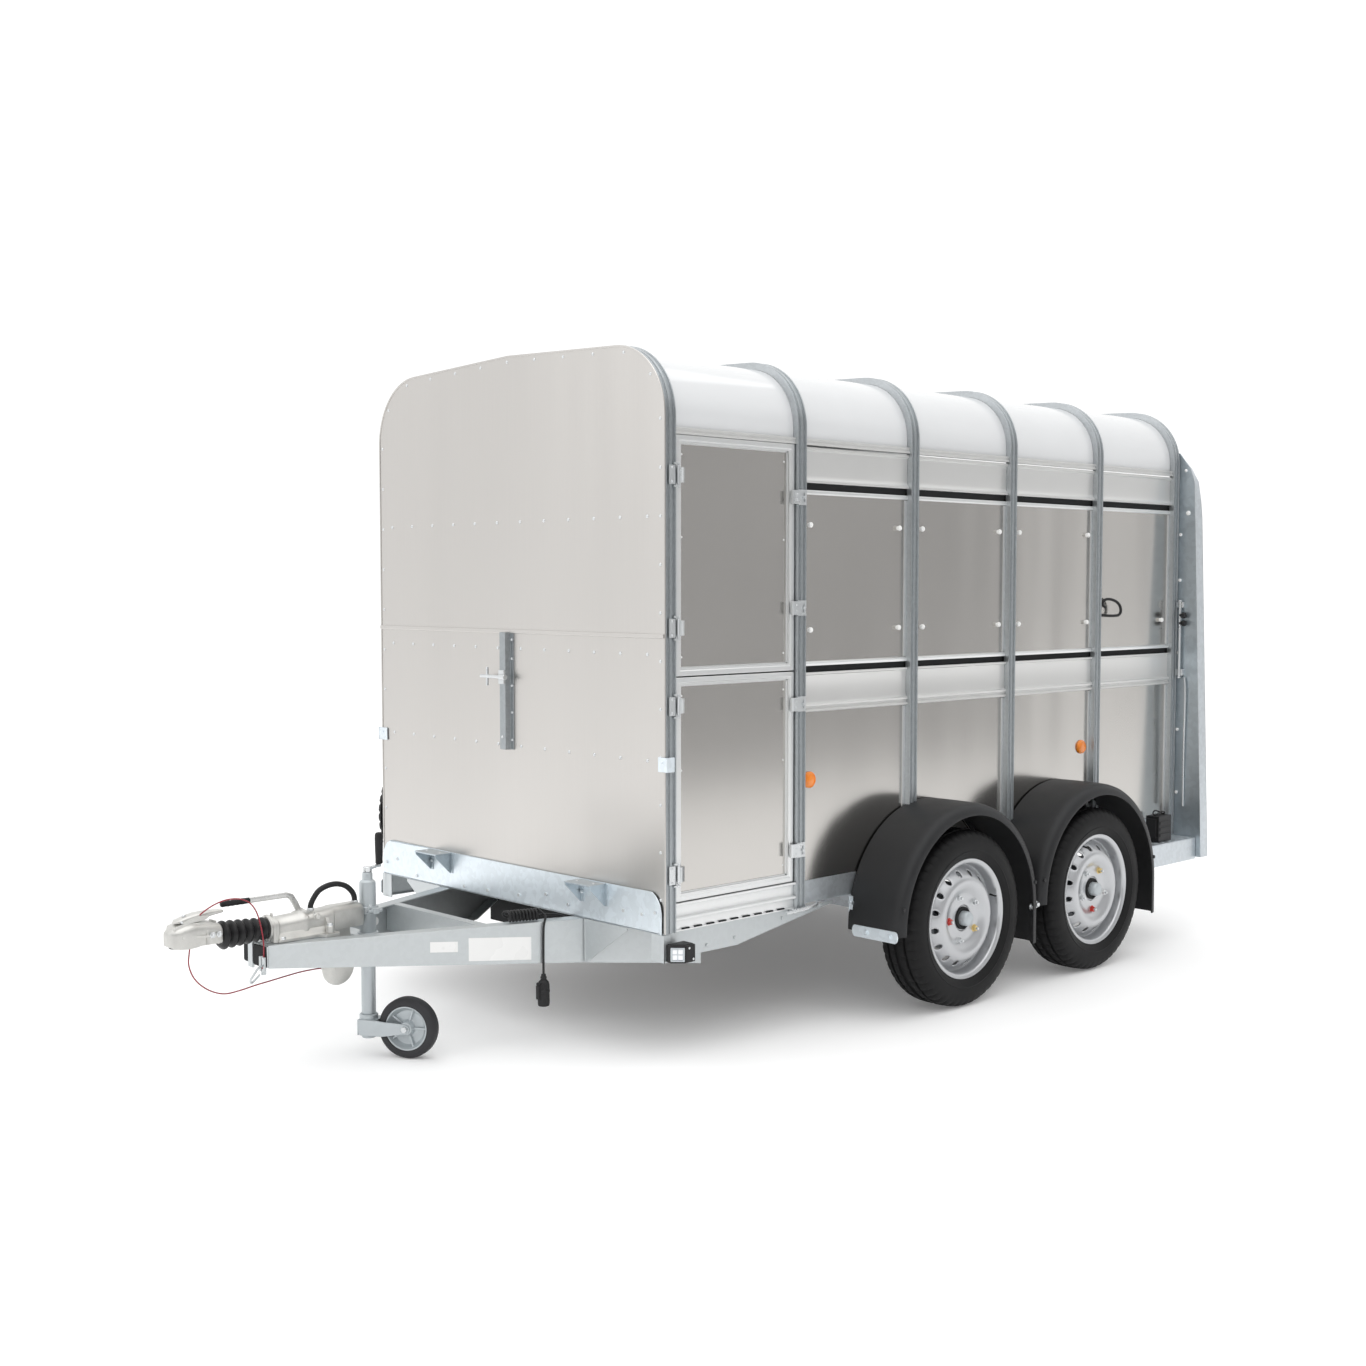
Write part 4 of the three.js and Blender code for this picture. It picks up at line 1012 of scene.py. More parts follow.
# A near-black cross member behind the headboard: its dark finish is painted shade for the shadowed underside there.
under = Form()
under.prism("x", [(286, 250), (330, 250), (330, 254), (290, 254), (290, 424), (330, 424), (330, 428), (286, 428)],
            -505, 505)
under.piece("front_cross_member", "trailer", "dark", slot="chassis", bevel=1.4)
blank_plates = Form()
for run, width, height, lift in ((512, 92, 34, 362), (640, 214, 76, 322)):
    ring = [CORNER_POINT + ALONG * (run + u) + Vector((0, 0, lift + v)) + OUTWARD * 1.0
            for u, v in ((0, 0), (width, -width * 0.07), (width, height - width * 0.07), (0, height))]
    blank_plates.loft([ring, [p - OUTWARD * 0.8 for p in ring]])
blank_plates.piece("drawbar_blank_plates", "trailer", "white_cap", slot="drawbar")
dots = Form()
face = Vector((OUTWARD.x, -OUTWARD.y, 0))
side = UP.cross(face)
for run in (640, 720, 800):
    centre = CORNER_POINT + ALONG * run
    spot = Vector((-centre.x, centre.y, 372)) + face * 5.3
    ring = [spot + 14 * (side * math.cos(TAU * k / 20) + UP * math.sin(TAU * k / 20)) for k in range(20)]
    dots.loft([ring, [p + face * 1.2 for p in ring]])
dots.piece("drawbar_hole_rims", "trailer", "white_cap", slot="drawbar")

# ------------------------------------------------------------------ wheels
AXLES = {"front": 1325.7, "rear": 2177.2}
AXLE_HEIGHT = 325
TYRE_X = 912


TREAD_STEPS = 216


def tyre_form():
    """Carcass with three tread grooves and cut shoulder blocks, centred on the origin with +x outside."""
    form = Form()
    profile = [
        (-59, 204), (-66, 213), (-70, 221), (-76, 227), (-84, 244), (-87, 264), (-85.5, 284), (-80, 303), (-74, 312),
        (-66, 318.5), (-58, 321.5), (-44, 323.5), (-42, 316), (-34, 316), (-32, 324.2), (-12, 324.8), (-10, 317),
        (10, 317), (12, 324.8), (32, 324.2), (34, 316), (42, 316), (44, 323.5), (58, 321.5), (66, 318.5), (74, 312),
        (80, 303), (85.5, 284), (87, 264), (86, 252), (87.4, 249), (85.4, 246), (84, 240), (78, 229), (72, 221),
        (67, 213), (60, 204),
    ]
    shoulder = {(-80, 303), (-74, 312), (-66, 318.5), (-58, 321.5), (58, 321.5), (66, 318.5), (74, 312), (80, 303)}
    rib = {(-32, 324.2), (-12, 324.8), (12, 324.8), (32, 324.2), (-44, 323.5), (44, 323.5)}
    rows = []
    for k in range(TREAD_STEPS):
        angle = TAU * k / TREAD_STEPS
        row = []
        for x, r in profile:
            cut = 0
            if (x, r) in shoulder and k % 4 == 0:
                cut = 5.5 if r > 310 else 2.0
            if (x, r) in rib and (k + (1 if x > 0 else 3)) % 6 == 0:
                cut = 3.5
            row.append((x, (r - cut) * math.cos(angle), (r - cut) * math.sin(angle)))
        rows.append(row)
    return form.grid(rows, loop_rows=True)


def dish(radius):
    """How far outboard of the tyre's middle the wheel disc stands at a radius."""
    line = [(0, 48), (46, 48), (50, 52), (90, 52), (100, 57), (114, 65), (128, 69), (142, 69), (150, 66), (158, 60),
            (170, 48),
            (182, 35), (190, 26), (199.5, 18)]
    for (r0, x0), (r1, x1) in zip(line, line[1:]):
        if radius <= r1:
            t = (radius - r0) / (r1 - r0)
            return x0 + t * (x1 - x0)
    return line[-1][1]


VENTS = 16


def disc_form():
    """Pressed disc: hub opening, stud holes left to the nuts, and a ring of round vents cut through it."""
    form = Form()
    segments = VENTS * 12
    inner_rings = [33, 36, 46, 50, 74, 90, 95, 100, 107, 114, 121, 128, 135, 142, 147]
    outer_rings = [183, 187, 190, 194, 197, 199.5]
    for rings in (inner_rings, outer_rings):
        rows = []
        for radius in rings:
            rows.append([
                (dish(radius), radius * math.cos(TAU * k / segments), radius * math.sin(TAU * k / segments))
                for k in range(segments)
            ])
        form.grid(rows)
    low, high, hole, middle = 147, 183, 11.5, 165
    half_angle = math.pi / VENTS
    rim = [(low, -half_angle + 2 * half_angle * k / 12) for k in range(12)]
    rim += [(low + (high - low) * k / 6, half_angle) for k in range(6)]
    rim += [(high, half_angle - 2 * half_angle * k / 12) for k in range(12)]
    rim += [(high - (high - low) * k / 6, -half_angle) for k in range(6)]
    for v in range(VENTS):
        base = TAU * v / VENTS + half_angle
        rows = []
        for share, sunk in ((0.0, 0), (0.5, 0), (0.85, 0), (1.0, 1.2), (1.0, 5)):
            row = []
            for radius, angle in rim:
                a, b = radius * math.sin(angle), radius * math.cos(angle) - middle
                heading = math.atan2(b, a)
                a += (hole * math.cos(heading) - a) * share
                b += (hole * math.sin(heading) - b) * share
                far, turn = math.hypot(a, b + middle), math.atan2(a, b + middle) + base
                row.append((dish(far) - sunk, far * math.cos(turn), far * math.sin(turn)))
            rows.append(row)
        form.grid(rows)
    return form


def barrel_form():
    form = Form()
    outer = [
        (199.5, 20), (201, 40), (201.5, 58), (203, 66), (207, 70), (214, 72), (219.5, 73.5), (221, 71.5), (220.5, 68),
        (214, 65.5), (206, 62), (203.2, 57), (202.8, 30), (196, 22), (196, -20), (202.8, -40), (203, -58), (206, -64),
        (219, -70), (220.5, -72.5), (218, -73.5), (203, -68), (198, -58), (196, -40), (190, -20), (190, 20),
    ]
    return form.lathe("x", (0, 0, 0), [(x, r) for r, x in outer], 96, closed=True)


STUDS, STUD_CIRCLE = 5, 82.5


def hub_forms():
    """Hub, grey cap, five studs with their nuts."""
    hub, cap, nuts, brass, red, well = Form(), Form(), Form(), Form(), Form(), Form()
    hub.lathe("x", (0, 0, 0), [(46, 0), (46, 45), (44, 46), (30, 52), (10, 60)], 40)
    well.lathe("x", (0, 0, 0), [(50, 26), (50, 42), (56, 42), (58, 40), (58, 36), (54, 33), (54, 26)], 40, closed=True)
    cap.lathe("x", (0, 0, 0), [(50, 27), (72, 27), (80, 25.5), (84, 22), (86, 16), (86.6, 9), (87, 0)], 36)
    for k in range(STUDS):
        angle = TAU * k / STUDS + 0.31
        y, z = STUD_CIRCLE * math.cos(angle), STUD_CIRCLE * math.sin(angle)
        form = red if k == 2 else brass if k == 4 else nuts
        form.hexagon("x", (0, y, z), 51, 66, 11, angle)
        form.lathe("x", (0, y, z), [(50, 14.5), (54, 14.5), (55.5, 12), (55.5, 10)], 20)
        nuts.rod("x", (0, y, z), 54, 74, 5.5, 14)
    return {"hub": (hub, "axle"), "cap": (cap, "jockey"), "nuts": (nuts, "fittings"), "brass": (brass, "brass_zinc"),
            "red": (red, "red_paint"), "well": (well, "dark")}


def wheel(name, body, x, station, height, side, rim_node, tyre_node, turn):
    place = Matrix.Translation((x, station, height)) @ Matrix.Diagonal((side, 1, 1, 1)) @ Matrix.Rotation(turn, 4, "X")
    tyre_form().moved(place).piece(f"{name}_tyre", body, "tyre", tyre_node, "tyre", angle=28)
    disc_form().moved(place).piece(f"{name}_disc", body, "rim", rim_node, "rim", angle=40, thick=3.5)
    barrel_form().moved(place).piece(f"{name}_barrel", body, "rim", slot="rim", angle=40)
    for part, (form, material) in hub_forms().items():
        if name == "spare" and part == "cap":
            form.mesh.free()
            continue
        form.moved(place).piece(f"{name}_{part}", body, material, slot="rim", bevel=0.5)
    valve = Form()
    valve.tube([(46, 186, 0), (58, 184, 0), (66, 182, 0), (76, 181, 0)], [3.6, 3.4, 3.0, 3.6], 10)
    valve.moved(place).piece(f"{name}_valve", body, "cable", slot="tyre")


for place, station in AXLES.items():
    for hand, side in (("left", 1), ("right", -1)):
        turn = {"front": 0.35, "rear": 1.9}[place]
        wheel(f"wheel_{place}_{hand}", f"wheel_{place}_{hand}", side * TYRE_X, station, AXLE_HEIGHT, side,
              f"wheel_rim_{place}_{hand}", f"tyre_{place}_{hand}", turn)
SPARE_S, SPARE_Z = 395, 630
wheel("spare", "trailer", -888, SPARE_S, SPARE_Z, -1, "spare_rim", "spare_tyre", 0.9)
carrier = Form()
carrier.box(-836, -798, SPARE_S - 30, SPARE_S + 30, SPARE_Z - 70, SPARE_Z + 70)
carrier.box(-836, -830, SPARE_S - 60, SPARE_S + 60, SPARE_Z - 30, SPARE_Z + 30)
carrier.rod("x", (0, SPARE_S, SPARE_Z), -848, -800, 60, 32)
carrier.piece("spare_carrier", "trailer", "chassis", slot="chassis", bevel=1.5)

# ------------------------------------------------------------------ mudguards
GUARD = [
    (777, 401), (777, 421), (780, 424.5), (860, 425), (940, 424.5), (972, 423), (990, 419), (1002, 412), (1008, 402),
    (1010, 391), (1011.5, 384), (1011, 380), (1006, 381), (1005, 390), (1002, 401), (996, 409), (986, 415),
    (970, 418.5), (940, 420), (860, 420.5), (783, 420), (781.5, 418), (781.5, 401),
]


GUARD_STEPS, GUARD_DROP = 44, 146
GUARD_BOLT = 0.22  # how far round the wheel, from level, the end bolts sit


def mudguard(station):
    """The section carried over the wheel from its front edge, and straight down behind it."""
    form = Form()
    rows = []
    for k in range(-8, GUARD_STEPS + 7):
        if k < 0:
            angle, sink = math.pi, -k
        elif k > GUARD_STEPS:
            angle, sink = 0.0, (k - GUARD_STEPS) / 6 * GUARD_DROP
        else:
            angle, sink = math.pi * (1 - k / GUARD_STEPS), 0.0
        rows.append([(x, station + r * math.cos(angle), AXLE_HEIGHT + r * math.sin(angle) - sink) for x, r in GUARD])
    form.loft(rows)
    for angle in (GUARD_BOLT, math.pi - GUARD_BOLT):
        y, z = station + 404 * math.cos(angle), AXLE_HEIGHT + 404 * math.sin(angle)
        form.hexagon("x", (0, y, z), 1003, 1011.8, 8)
    return form


for place, station in AXLES.items():
    pair(f"mudguard_{place}", mudguard(station), "trailer", "mudguard", replaces=f"mudguard_{place}", slot="mudguard",
         bevel=0.8, angle=40)
guard_bolts = Form()
for station, height in ((1751, 322), (1718, 318)):
    guard_bolts.hexagon("x", (0, station, height), 994, 1004, 9)
    guard_bolts.lathe("x", (0, station, height), [(992, 0), (992, 13), (994.4, 13), (994.4, 0)], 20)
pair("mudguard_bolts", guard_bolts, "trailer", "fittings", slot="fittings")

# ------------------------------------------------------------------ overrun coupling
SHAFT = 472
LEVER_PIVOT, QUADRANT = (0, -806, 492), (0, -706, 309)


def rounded_section(half_width, low, high, shoulder, flat):
    """A cast section as (x, z): straight flanks with a rounded top."""
    right = [(half_width, low), (half_width, high - shoulder)]
    for k in range(1, 7):
        angle = k / 6 * math.pi / 2
        right.append((flat + (half_width - flat) * math.cos(angle), high - shoulder + shoulder * math.sin(angle)))
    return right + [(-x, z) for x, z in reversed(right)]


def cast_loft(stations):
    return Form().loft([[(x, s, z) for x, z in rounded_section(*shape)] for s, shape in stations])


def blunt(value, power):
    """Pushes a circle's sine or cosine outward, which makes the circle squarer."""
    return math.copysign(abs(value) ** power, value)


housing = cast_loft([
    (-962, (44, 431, 502, 26, 10)), (-956, (49, 431, 508, 28, 12)), (-944, (49, 431, 508, 28, 12)),
    (-938, (43, 431, 502, 26, 10)),
    (-860, (43, 431, 506, 26, 10)), (-852, (47, 431, 510, 26, 10)), (-840, (47, 431, 510, 26, 10)),
    (-832, (43, 431, 506, 26, 10)),
    (-770, (42, 431, 509, 26, 10)), (-744, (40, 431, 511, 24, 10)), (-738, (34, 439, 513, 20, 12)),
    (-640, (33, 439, 514, 18, 12)),
    (-628, (30, 441, 508, 18, 12)), (-622, (24, 446, 500, 18, 10)),
])
foot = [(-952, 46), (-948, 54), (-905, 58), (-860, 56), (-812, 60), (-800, 76), (-794, 80), (-750, 80), (-744, 76),
        (-742, 60)]
housing.prism("z", [(x, s) for s, x in foot] + [(-x, s) for s, x in reversed(foot)], 431, 439.5)
for side in (-1, 1):
    ridge = [(side * 40, 438), (side * 57, 438), (side * 52, 444), (side * 44, 458), (side * 40, 462)]
    housing.prism("s", ridge, -946, -760)
    housing.rod("z", (side * 62, -772, 0), 438, 462, 13, 20, 2)
    housing.prism("s", [(side * 40, 438), (side * 62, 438), (side * 58, 462), (side * 44, 486), (side * 40, 486)],
                  -778, -766)
housing.prism("x", [(-948, 505), (-940, 505), (-942, 517), (-946, 517)], -5, 5)
housing.rod("x", LEVER_PIVOT, -60, 44, 12, 24, 2)
housing.rod("x", LEVER_PIVOT, 44, 50, 8, 20)
housing.lathe("s", (0, 0, SHAFT), [(-966, 26.5), (-966, 38), (-962, 42), (-956, 42), (-956, 26.5)], 36, closed=True)
housing.piece("coupling_housing_casting", "trailer", "coupling", "coupling_housing", "coupling", bevel=1.8, segments=3)

hangers = Form()
hangers.lathe("x", QUADRANT, [(-5, 0), (-5, 52), (-3, 58), (0, 60), (3, 58), (5, 52), (5, 0)], 40)
hangers.prism("x", [(-738, 330), (-674, 330), (-660, 400), (-664, 440), (-748, 440), (-752, 400)], -5, 5)
for side in (-1, 1):
    hangers.lathe("x", QUADRANT, [(side * 5, 14), (side * 8, 14), (side * 8, 0)], 20)
hangers.rod("x", (0, -766, 314), -6, 6, 5, 14)
hangers.piece("brake_quadrant", "trailer", "coupling", slot="coupling", bevel=1.0)

housing_bolts = Form()
for x, s, z in ((-48, -932, 440), (48, -932, 440), (-62, -772, 462), (62, -772, 462)):
    housing_bolts.hexagon("z", (x, s, 0), z, z + 8, 9)
    housing_bolts.rod("z", (x, s, 0), z - 1, z + 1.6, 11, 20, 0.8)
housing_bolts.rod("z", (0, -805, 0), 505, 515, 11, 20)
housing_bolts.rod("z", (0, -642, 0), 508, 518, 11, 20)
housing_bolts.piece("coupling_bolts", "trailer", "fittings", slot="fittings")

head = cast_loft([
    (-1296, (12, 472, 502, 8, 5)), (-1293, (21, 464, 508, 12, 8)), (-1284, (30, 458, 514, 16, 10)),
    (-1268, (38, 455, 520, 20, 12)),
    (-1248, (42, 454, 525, 24, 14)), (-1232, (42, 454, 527, 24, 16)), (-1214, (39, 455, 526, 22, 16)),
    (-1196, (36, 457, 524, 22, 14)),
    (-1178, (37, 457, 524, 22, 14)), (-1150, (37, 457, 518, 20, 14)), (-1132, (36, 457, 514, 20, 14)),
    (-1126, (32, 460, 508, 20, 12)),
])
head.lathe("s", (0, 0, SHAFT), [(-1128, 0), (-1128, 24.4), (-744, 24.4), (-742, 22), (-742, 0)], 36)
for side in (-1, 1):
    x0, x1 = span(side, 35, 41)
    head.prism("x", [(-1262, 486), (-1136, 478), (-1136, 484), (-1180, 488), (-1262, 494)], x0, x1)
    head.prism("s", [(side * 34, 458), (side * 42, 458), (side * 38, 500), (side * 30, 510)], -1184, -1176)
head.prism("x", [(-1282, 505), (-1140, 505), (-1140, 517), (-1180, 527), (-1255, 529), (-1280, 521)], -27, 27)
for station in (-1206, -1190, -1146):
    head.prism("x", [(station, 518), (station + 5, 518), (station + 4, 524.5), (station + 1, 524.5)], -22, 22)
head.piece("coupling_head_casting", "coupling_head", "coupling", "coupling_head", "coupling", bevel=1.6, segments=3)

socket = Form()
profile = [(456.6, 33), (454.5, 31), (454.5, 27), (470, 26), (480, 20), (485, 10), (486, 0)]
socket.lathe("z", (0, -1252, 0), profile, 32)
socket.piece("coupling_ball_socket", "coupling_head", "dark", slot="coupling")
head_bolts = Form()
for station, height in ((-1166, 486), (-1144, 486)):
    head_bolts.hexagon("x", (0, station, height), 36.5, 46, 10)
    head_bolts.hexagon("x", (0, station, height), -46, -36.5, 10)
    head_bolts.rod("x", (0, station, height), -50, 50, 5, 14)
head_bolts.piece("coupling_head_bolts", "coupling_head", "fittings", slot="fittings")

handle = Form()
line = [(-1272, 529, 8, 5), (-1266, 531, 15, 10), (-1250, 534, 21, 15), (-1228, 538, 24, 20), (-1204, 541, 24, 22),
        (-1180, 543, 21, 21),
        (-1160, 545, 17, 18), (-1138, 546, 15, 14), (-1120, 546, 14, 11), (-1112.5, 546, 11, 7)]
rings = []
for s, z, wide, tall in line:
    ring = []
    for k in range(24):
        angle = TAU * k / 24
        a, b = math.cos(angle), math.sin(angle)
        ring.append((wide * blunt(a, 0.6), s, z + tall / 2 * blunt(b, 0.7) + 2))
    rings.append(ring)
handle.loft(rings)
for side in (-1, 1):
    shape = [(-1256, 531), (-1232, 541), (-1200, 547), (-1172, 546), (-1166, 541), (-1180, 533), (-1214, 529),
             (-1246, 527)]
    x0, x1 = span(side, 20, 26)
    handle.prism("x", shape, x0, x1)
handle.piece("coupling_handle_casting", "coupling_handle", "coupling", "coupling_handle", "coupling", bevel=1.0,
             angle=40)
hook = Form()
hook.rod("x", (0, -1256, 534), -26.5, 26.5, 4, 16, 0.8)
hook.rod("z", (0, -1238, 0), 546, 552, 6, 16)
hook.piece("coupling_handle_pins", "coupling_handle", "fittings", slot="coupling")

folds = Form()
profile = []
BELLOWS_FRONT, BELLOWS_REAR = -1124, -963
WAVES, WAVE_STEPS = 6, 12
for k in range(WAVES * WAVE_STEPS + 1):
    t = k / (WAVES * WAVE_STEPS)
    swell = 45.5 - 10 * t
    wave = 0.5 - 0.5 * math.cos(TAU * WAVES * t)
    profile.append((BELLOWS_FRONT + (BELLOWS_REAR - BELLOWS_FRONT) * t, swell - 11 + 11 * wave ** 0.6))
profile += [(BELLOWS_REAR, 25.5), (BELLOWS_FRONT, 25.5)]
folds.lathe("s", (0, 0, SHAFT), profile, 48, closed=True)
bellows = folds.piece("coupling_bellows_folds", "trailer", "bellows", "coupling_bellows", "bellows", angle=60)
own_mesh(bellows)

LEVER_X = -66.2
lever = Form()
side_line = [(-806, 492, 10, 9), (-812, 503, 10, 8), (-822, 524, 10, 8), (-836, 546, 10, 8), (-852, 553, 9, 7),
             (-900, 553, 9, 6),
             (-960, 553, 9, 6), (-984, 553, 9.5, 6)]
rings = []
for i, (s, z, tall, wide) in enumerate(side_line):
    before, after = side_line[max(i - 1, 0)], side_line[min(i + 1, len(side_line) - 1)]
    way = Vector((0, after[0] - before[0], after[1] - before[1])).normalized()
    up = Vector((1, 0, 0)).cross(way)
    ring = []
    for k in range(20):
        a, b = math.cos(TAU * k / 20), math.sin(TAU * k / 20)
        ring.append(Vector((LEVER_X, s, z)) + Vector((1, 0, 0)) * (wide - 0.6) * 0.9 * blunt(a, 0.6)
                    + up * tall * blunt(b, 0.6))
    rings.append(ring)
lever.loft(rings)
lever.rod("x", LEVER_PIVOT, -73, -60.5, 15, 24, 1.5)
lever.piece("handbrake_casting", "handbrake_lever", "handbrake", "handbrake_lever", "handbrake", bevel=0.5, angle=40)
grip = Form()
grip_line = [(-982, 8), (-984, 9.4), (-1000, 9.6)]
grip_line += [(-1000 - 8 * k, 10.2 if k % 2 else 9.2) for k in range(1, 9)]
grip_line += [(-1074, 10), (-1080, 8.4), (-1082, 5), (-1082.5, 0)]
rings = []
for s, r in grip_line:
    radius = max(r, 0.4)
    angles = [TAU * k / 24 for k in range(24)]
    rings.append([(LEVER_X + min(radius, 6.6) * math.cos(a), s, 553 + radius * math.sin(a)) for a in angles])
grip.loft(rings)
grip.piece("handbrake_grip", "handbrake_lever", "crank", slot="crank", angle=50)
pivot_bolt = Form().hexagon("x", LEVER_PIVOT, -80, -73, 9)
pivot_bolt.piece("handbrake_pivot_nut", "handbrake_lever", "fittings", slot="fittings")

# ------------------------------------------------------------------ jockey wheel
JX, JS = 0, -592
JOCKEY = (JX, JS, 0)
tube_form = Form()
tube_form.lathe("z", JOCKEY, [
    (330, 24), (330, 26.6), (332, 27), (565, 27), (573, 26), (577, 22), (580, 17), (600, 17), (604, 15), (604, 8.6),
    (570, 8.6), (566, 24),
], 40, closed=True)
tube_form.piece("jockey_outer_tube", "trailer", "jockey", "jockey_tube", "jockey", bevel=0.5)
clamp = Form()
for z in (384, 470):
    profile = [(z, 27.2), (z, 32), (z + 2, 34), (z + 22, 34), (z + 24, 32), (z + 24, 27.2)]
    clamp.lathe("z", JOCKEY, profile, 36, closed=True)
    clamp.prism("z", [(26, JS - 12), (52, JS - 12), (56, JS - 8), (56, JS + 8), (52, JS + 12), (26, JS + 12)], z + 3,
                z + 21)
clamp.prism("z", [(-150, -612), (150, -612), (160, -600), (160, -578), (150, -568), (-150, -568), (-160, -578),
                  (-160, -600)], 392, 398)
clamp.hexagon("s", (44, JS, 482), -16, -8, 9)
clamp.rod("s", (44, JS, 482), -30, 26, 5, 14)
clamp.tube(smooth([(44, JS - 28, 482), (52, JS - 40, 486), (74, JS - 46, 498), (88, JS - 46, 512)], 6), 5, 12)
clamp.piece("jockey_clamp", "trailer", "jockey", slot="jockey", bevel=1.4, segments=3)

inner_tube = Form()
inner_tube.lathe("z", JOCKEY, [(58, 0), (58, 22.4), (60, 23.4), (448, 23.4), (450, 22), (450, 8.8), (122, 8.8),
                                    (122, 0)], 40)
inner_tube.piece("jockey_inner", "jockey_inner", "jockey", "jockey_inner_tube", "jockey")

TRAIL_ANGLE = 0.547
TRAIL = Vector((math.cos(TRAIL_ANGLE), math.sin(TRAIL_ANGLE), 0))
ACROSS = TRAIL.cross(UP)
FOOT = Vector(JOCKEY)


def on_trail(run, side, z):
    return FOOT + TRAIL * run + ACROSS * side + Vector((0, 0, z))


fork = Form()
arm_line = [(-18, 70), (-22, 78), (-22, 116), (-16, 122), (40, 122), (70, 119), (142, 116), (154, 111), (160, 100),
            (154, 89),
            (142, 84), (60, 70)]
for side in (-35, 31):
    ring = [on_trail(run, side, z) for run, z in arm_line]
    fork.loft([ring, [p + ACROSS * 4 for p in ring]])
plate = [on_trail(run, side, 118) for run, side in ((-22, -35), (40, -35), (40, 35), (-22, 35))]
fork.loft([plate, [p + Vector((0, 0, 4)) for p in plate]])
back = [on_trail(-26, side, z) for side, z in ((-34, 70), (34, 70), (34, 121), (-34, 121))]
fork.loft([back, [p + TRAIL * 4 for p in back]])
fork.lathe("z", JOCKEY, [(66, 24), (66, 29), (68, 30.5), (134, 30.5), (137, 28), (137, 24)], 36, closed=True)
fork.piece("jockey_fork_plates", "jockey_fork", "jockey", "jockey_fork", "jockey", bevel=1.2, segments=3)
axle_bolt = Form()
place = Matrix.Translation(on_trail(142, 0, 100)) @ Matrix.Rotation(math.atan2(ACROSS.y, ACROSS.x), 4, "Z")
axle_bolt.rod("x", (0, 0, 0), -42, 42, 6, 18)
for low, high in ((-43, -35.4), (35.4, 43)):
    axle_bolt.hexagon("x", (0, 0, 0), low, high, 11)
axle_bolt.moved(place).piece("jockey_axle_bolt", "jockey_fork", "fittings", slot="fittings")
rubber = Form()
rubber.lathe("x", (0, 0, 0), [
    (-20, 70), (-24.5, 73.5), (-26.5, 82), (-25.5, 90), (-20, 97), (-12, 99.7), (0, 100), (12, 99.7), (20, 97),
    (25.5, 90), (26.5, 82), (25, 74), (20, 70),
], 72, closed=True)
rubber.moved(place).piece("jockey_tyre", "jockey_wheel", "jockey_tyre", "jockey_wheel", "jockey_tyre", angle=50)
web = Form()
web.lathe("x", (0, 0, 0), [
    (-24, 72), (-21, 74), (21, 74), (24, 72), (23, 68), (10, 62), (3, 56), (3, 36), (8, 27), (28, 21), (29, 18),
    (29, 8), (-29, 8), (-29, 18), (-28, 21), (-8, 27), (-3, 36), (-3, 56), (-10, 62), (-23, 68),
], 60, closed=True)
for k in range(5):
    spoke = Form()
    spoke.slab((-13, 24, -3), (1, 0, 0), (0, 1, 0), (0, 0, 1), (26, 42, 6))
    spoke.moved(Matrix.Rotation(TAU * k / 5, 4, "X"))
    spoke.mesh.verts.index_update()
    web.add([v.co.copy() for v in spoke.mesh.verts], [[v.index for v in f.verts] for f in spoke.mesh.faces])
    spoke.mesh.free()
web.moved(place).piece("jockey_wheel_hub", "jockey_wheel", "jockey", slot="jockey", bevel=0.8)

crank = Form()
crank.rod("z", JOCKEY, 240, 610, 8, 20)
crank.lathe("z", JOCKEY, [(605, 0), (605, 14), (607, 15), (620, 15), (622, 13), (622, 0)], 28)
reach = Vector((-45, 75, 0))
GRIP_AXIS = (JX + reach.x, JS + reach.y, 0)
crank.slab(FOOT + Vector((0, 0, 610)) - reach.normalized().cross(UP) * 8, reach, UP.cross(reach) * -1,
           (0, 0, 1), (reach.length, 16, 7))
crank.rod("z", GRIP_AXIS, 606, 626, 6, 18)
crank.piece("jockey_crank_arm", "jockey_crank", "fittings", "jockey_crank", "crank", bevel=1.5, segments=3)
knob = Form()
knob.lathe("z", GRIP_AXIS, [
    (618, 0), (618, 11), (621, 12.5), (632, 12), (660, 13), (700, 13.8), (714, 13.2), (720, 10.5), (722, 6), (722, 0),
], 32)
knob.piece("jockey_crank_grip", "jockey_crank", "crank", slot="crank")

# ------------------------------------------------------------------ rear wings
WING_FACE = 3097
WING = [(700, 341), (929, 341), (869.5, 1990), (850, 2045), (796, 2117), (775, 2117), (775, 520), (700, 520)]
wing = Form()
wing.prism("s", WING, WING_FACE, 3100.6)
wing.prism("s", oblong(774, 783, 560, 2105), 3100.6, 3108)
pair("rear_wing_plate", wing, "trailer", "rear_wing", replaces="rear_wing", slot="rear_wing", bevel=1.4)
EDGE = [(341, 929.6, 3156), (900, 909.3, 3156), (1500, 887.4, 3156), (1830, 875.4, 3156), (1910, 872.5, 3148),
        (1990, 869.6, 3130),
        (2018, 859.6, 3118), (2045, 850.2, 3108), (2080, 824, 3102)]
flange = Form()
flange.loft([[(x, WING_FACE - 0.5, z), (x, deep, z), (x - 3.4, deep, z), (x - 3.4, WING_FACE - 0.5, z)] for z, x,
             deep in EDGE])
flange.loft([[(x, deep, z), (x, deep - 3.4, z), (x - 11, deep - 3.4, z), (x - 11, deep, z)] for z, x,
             deep in EDGE[:5]])
pair("rear_wing_flange", flange, "trailer", "chassis", slot="rear_wing", bevel=1.2)

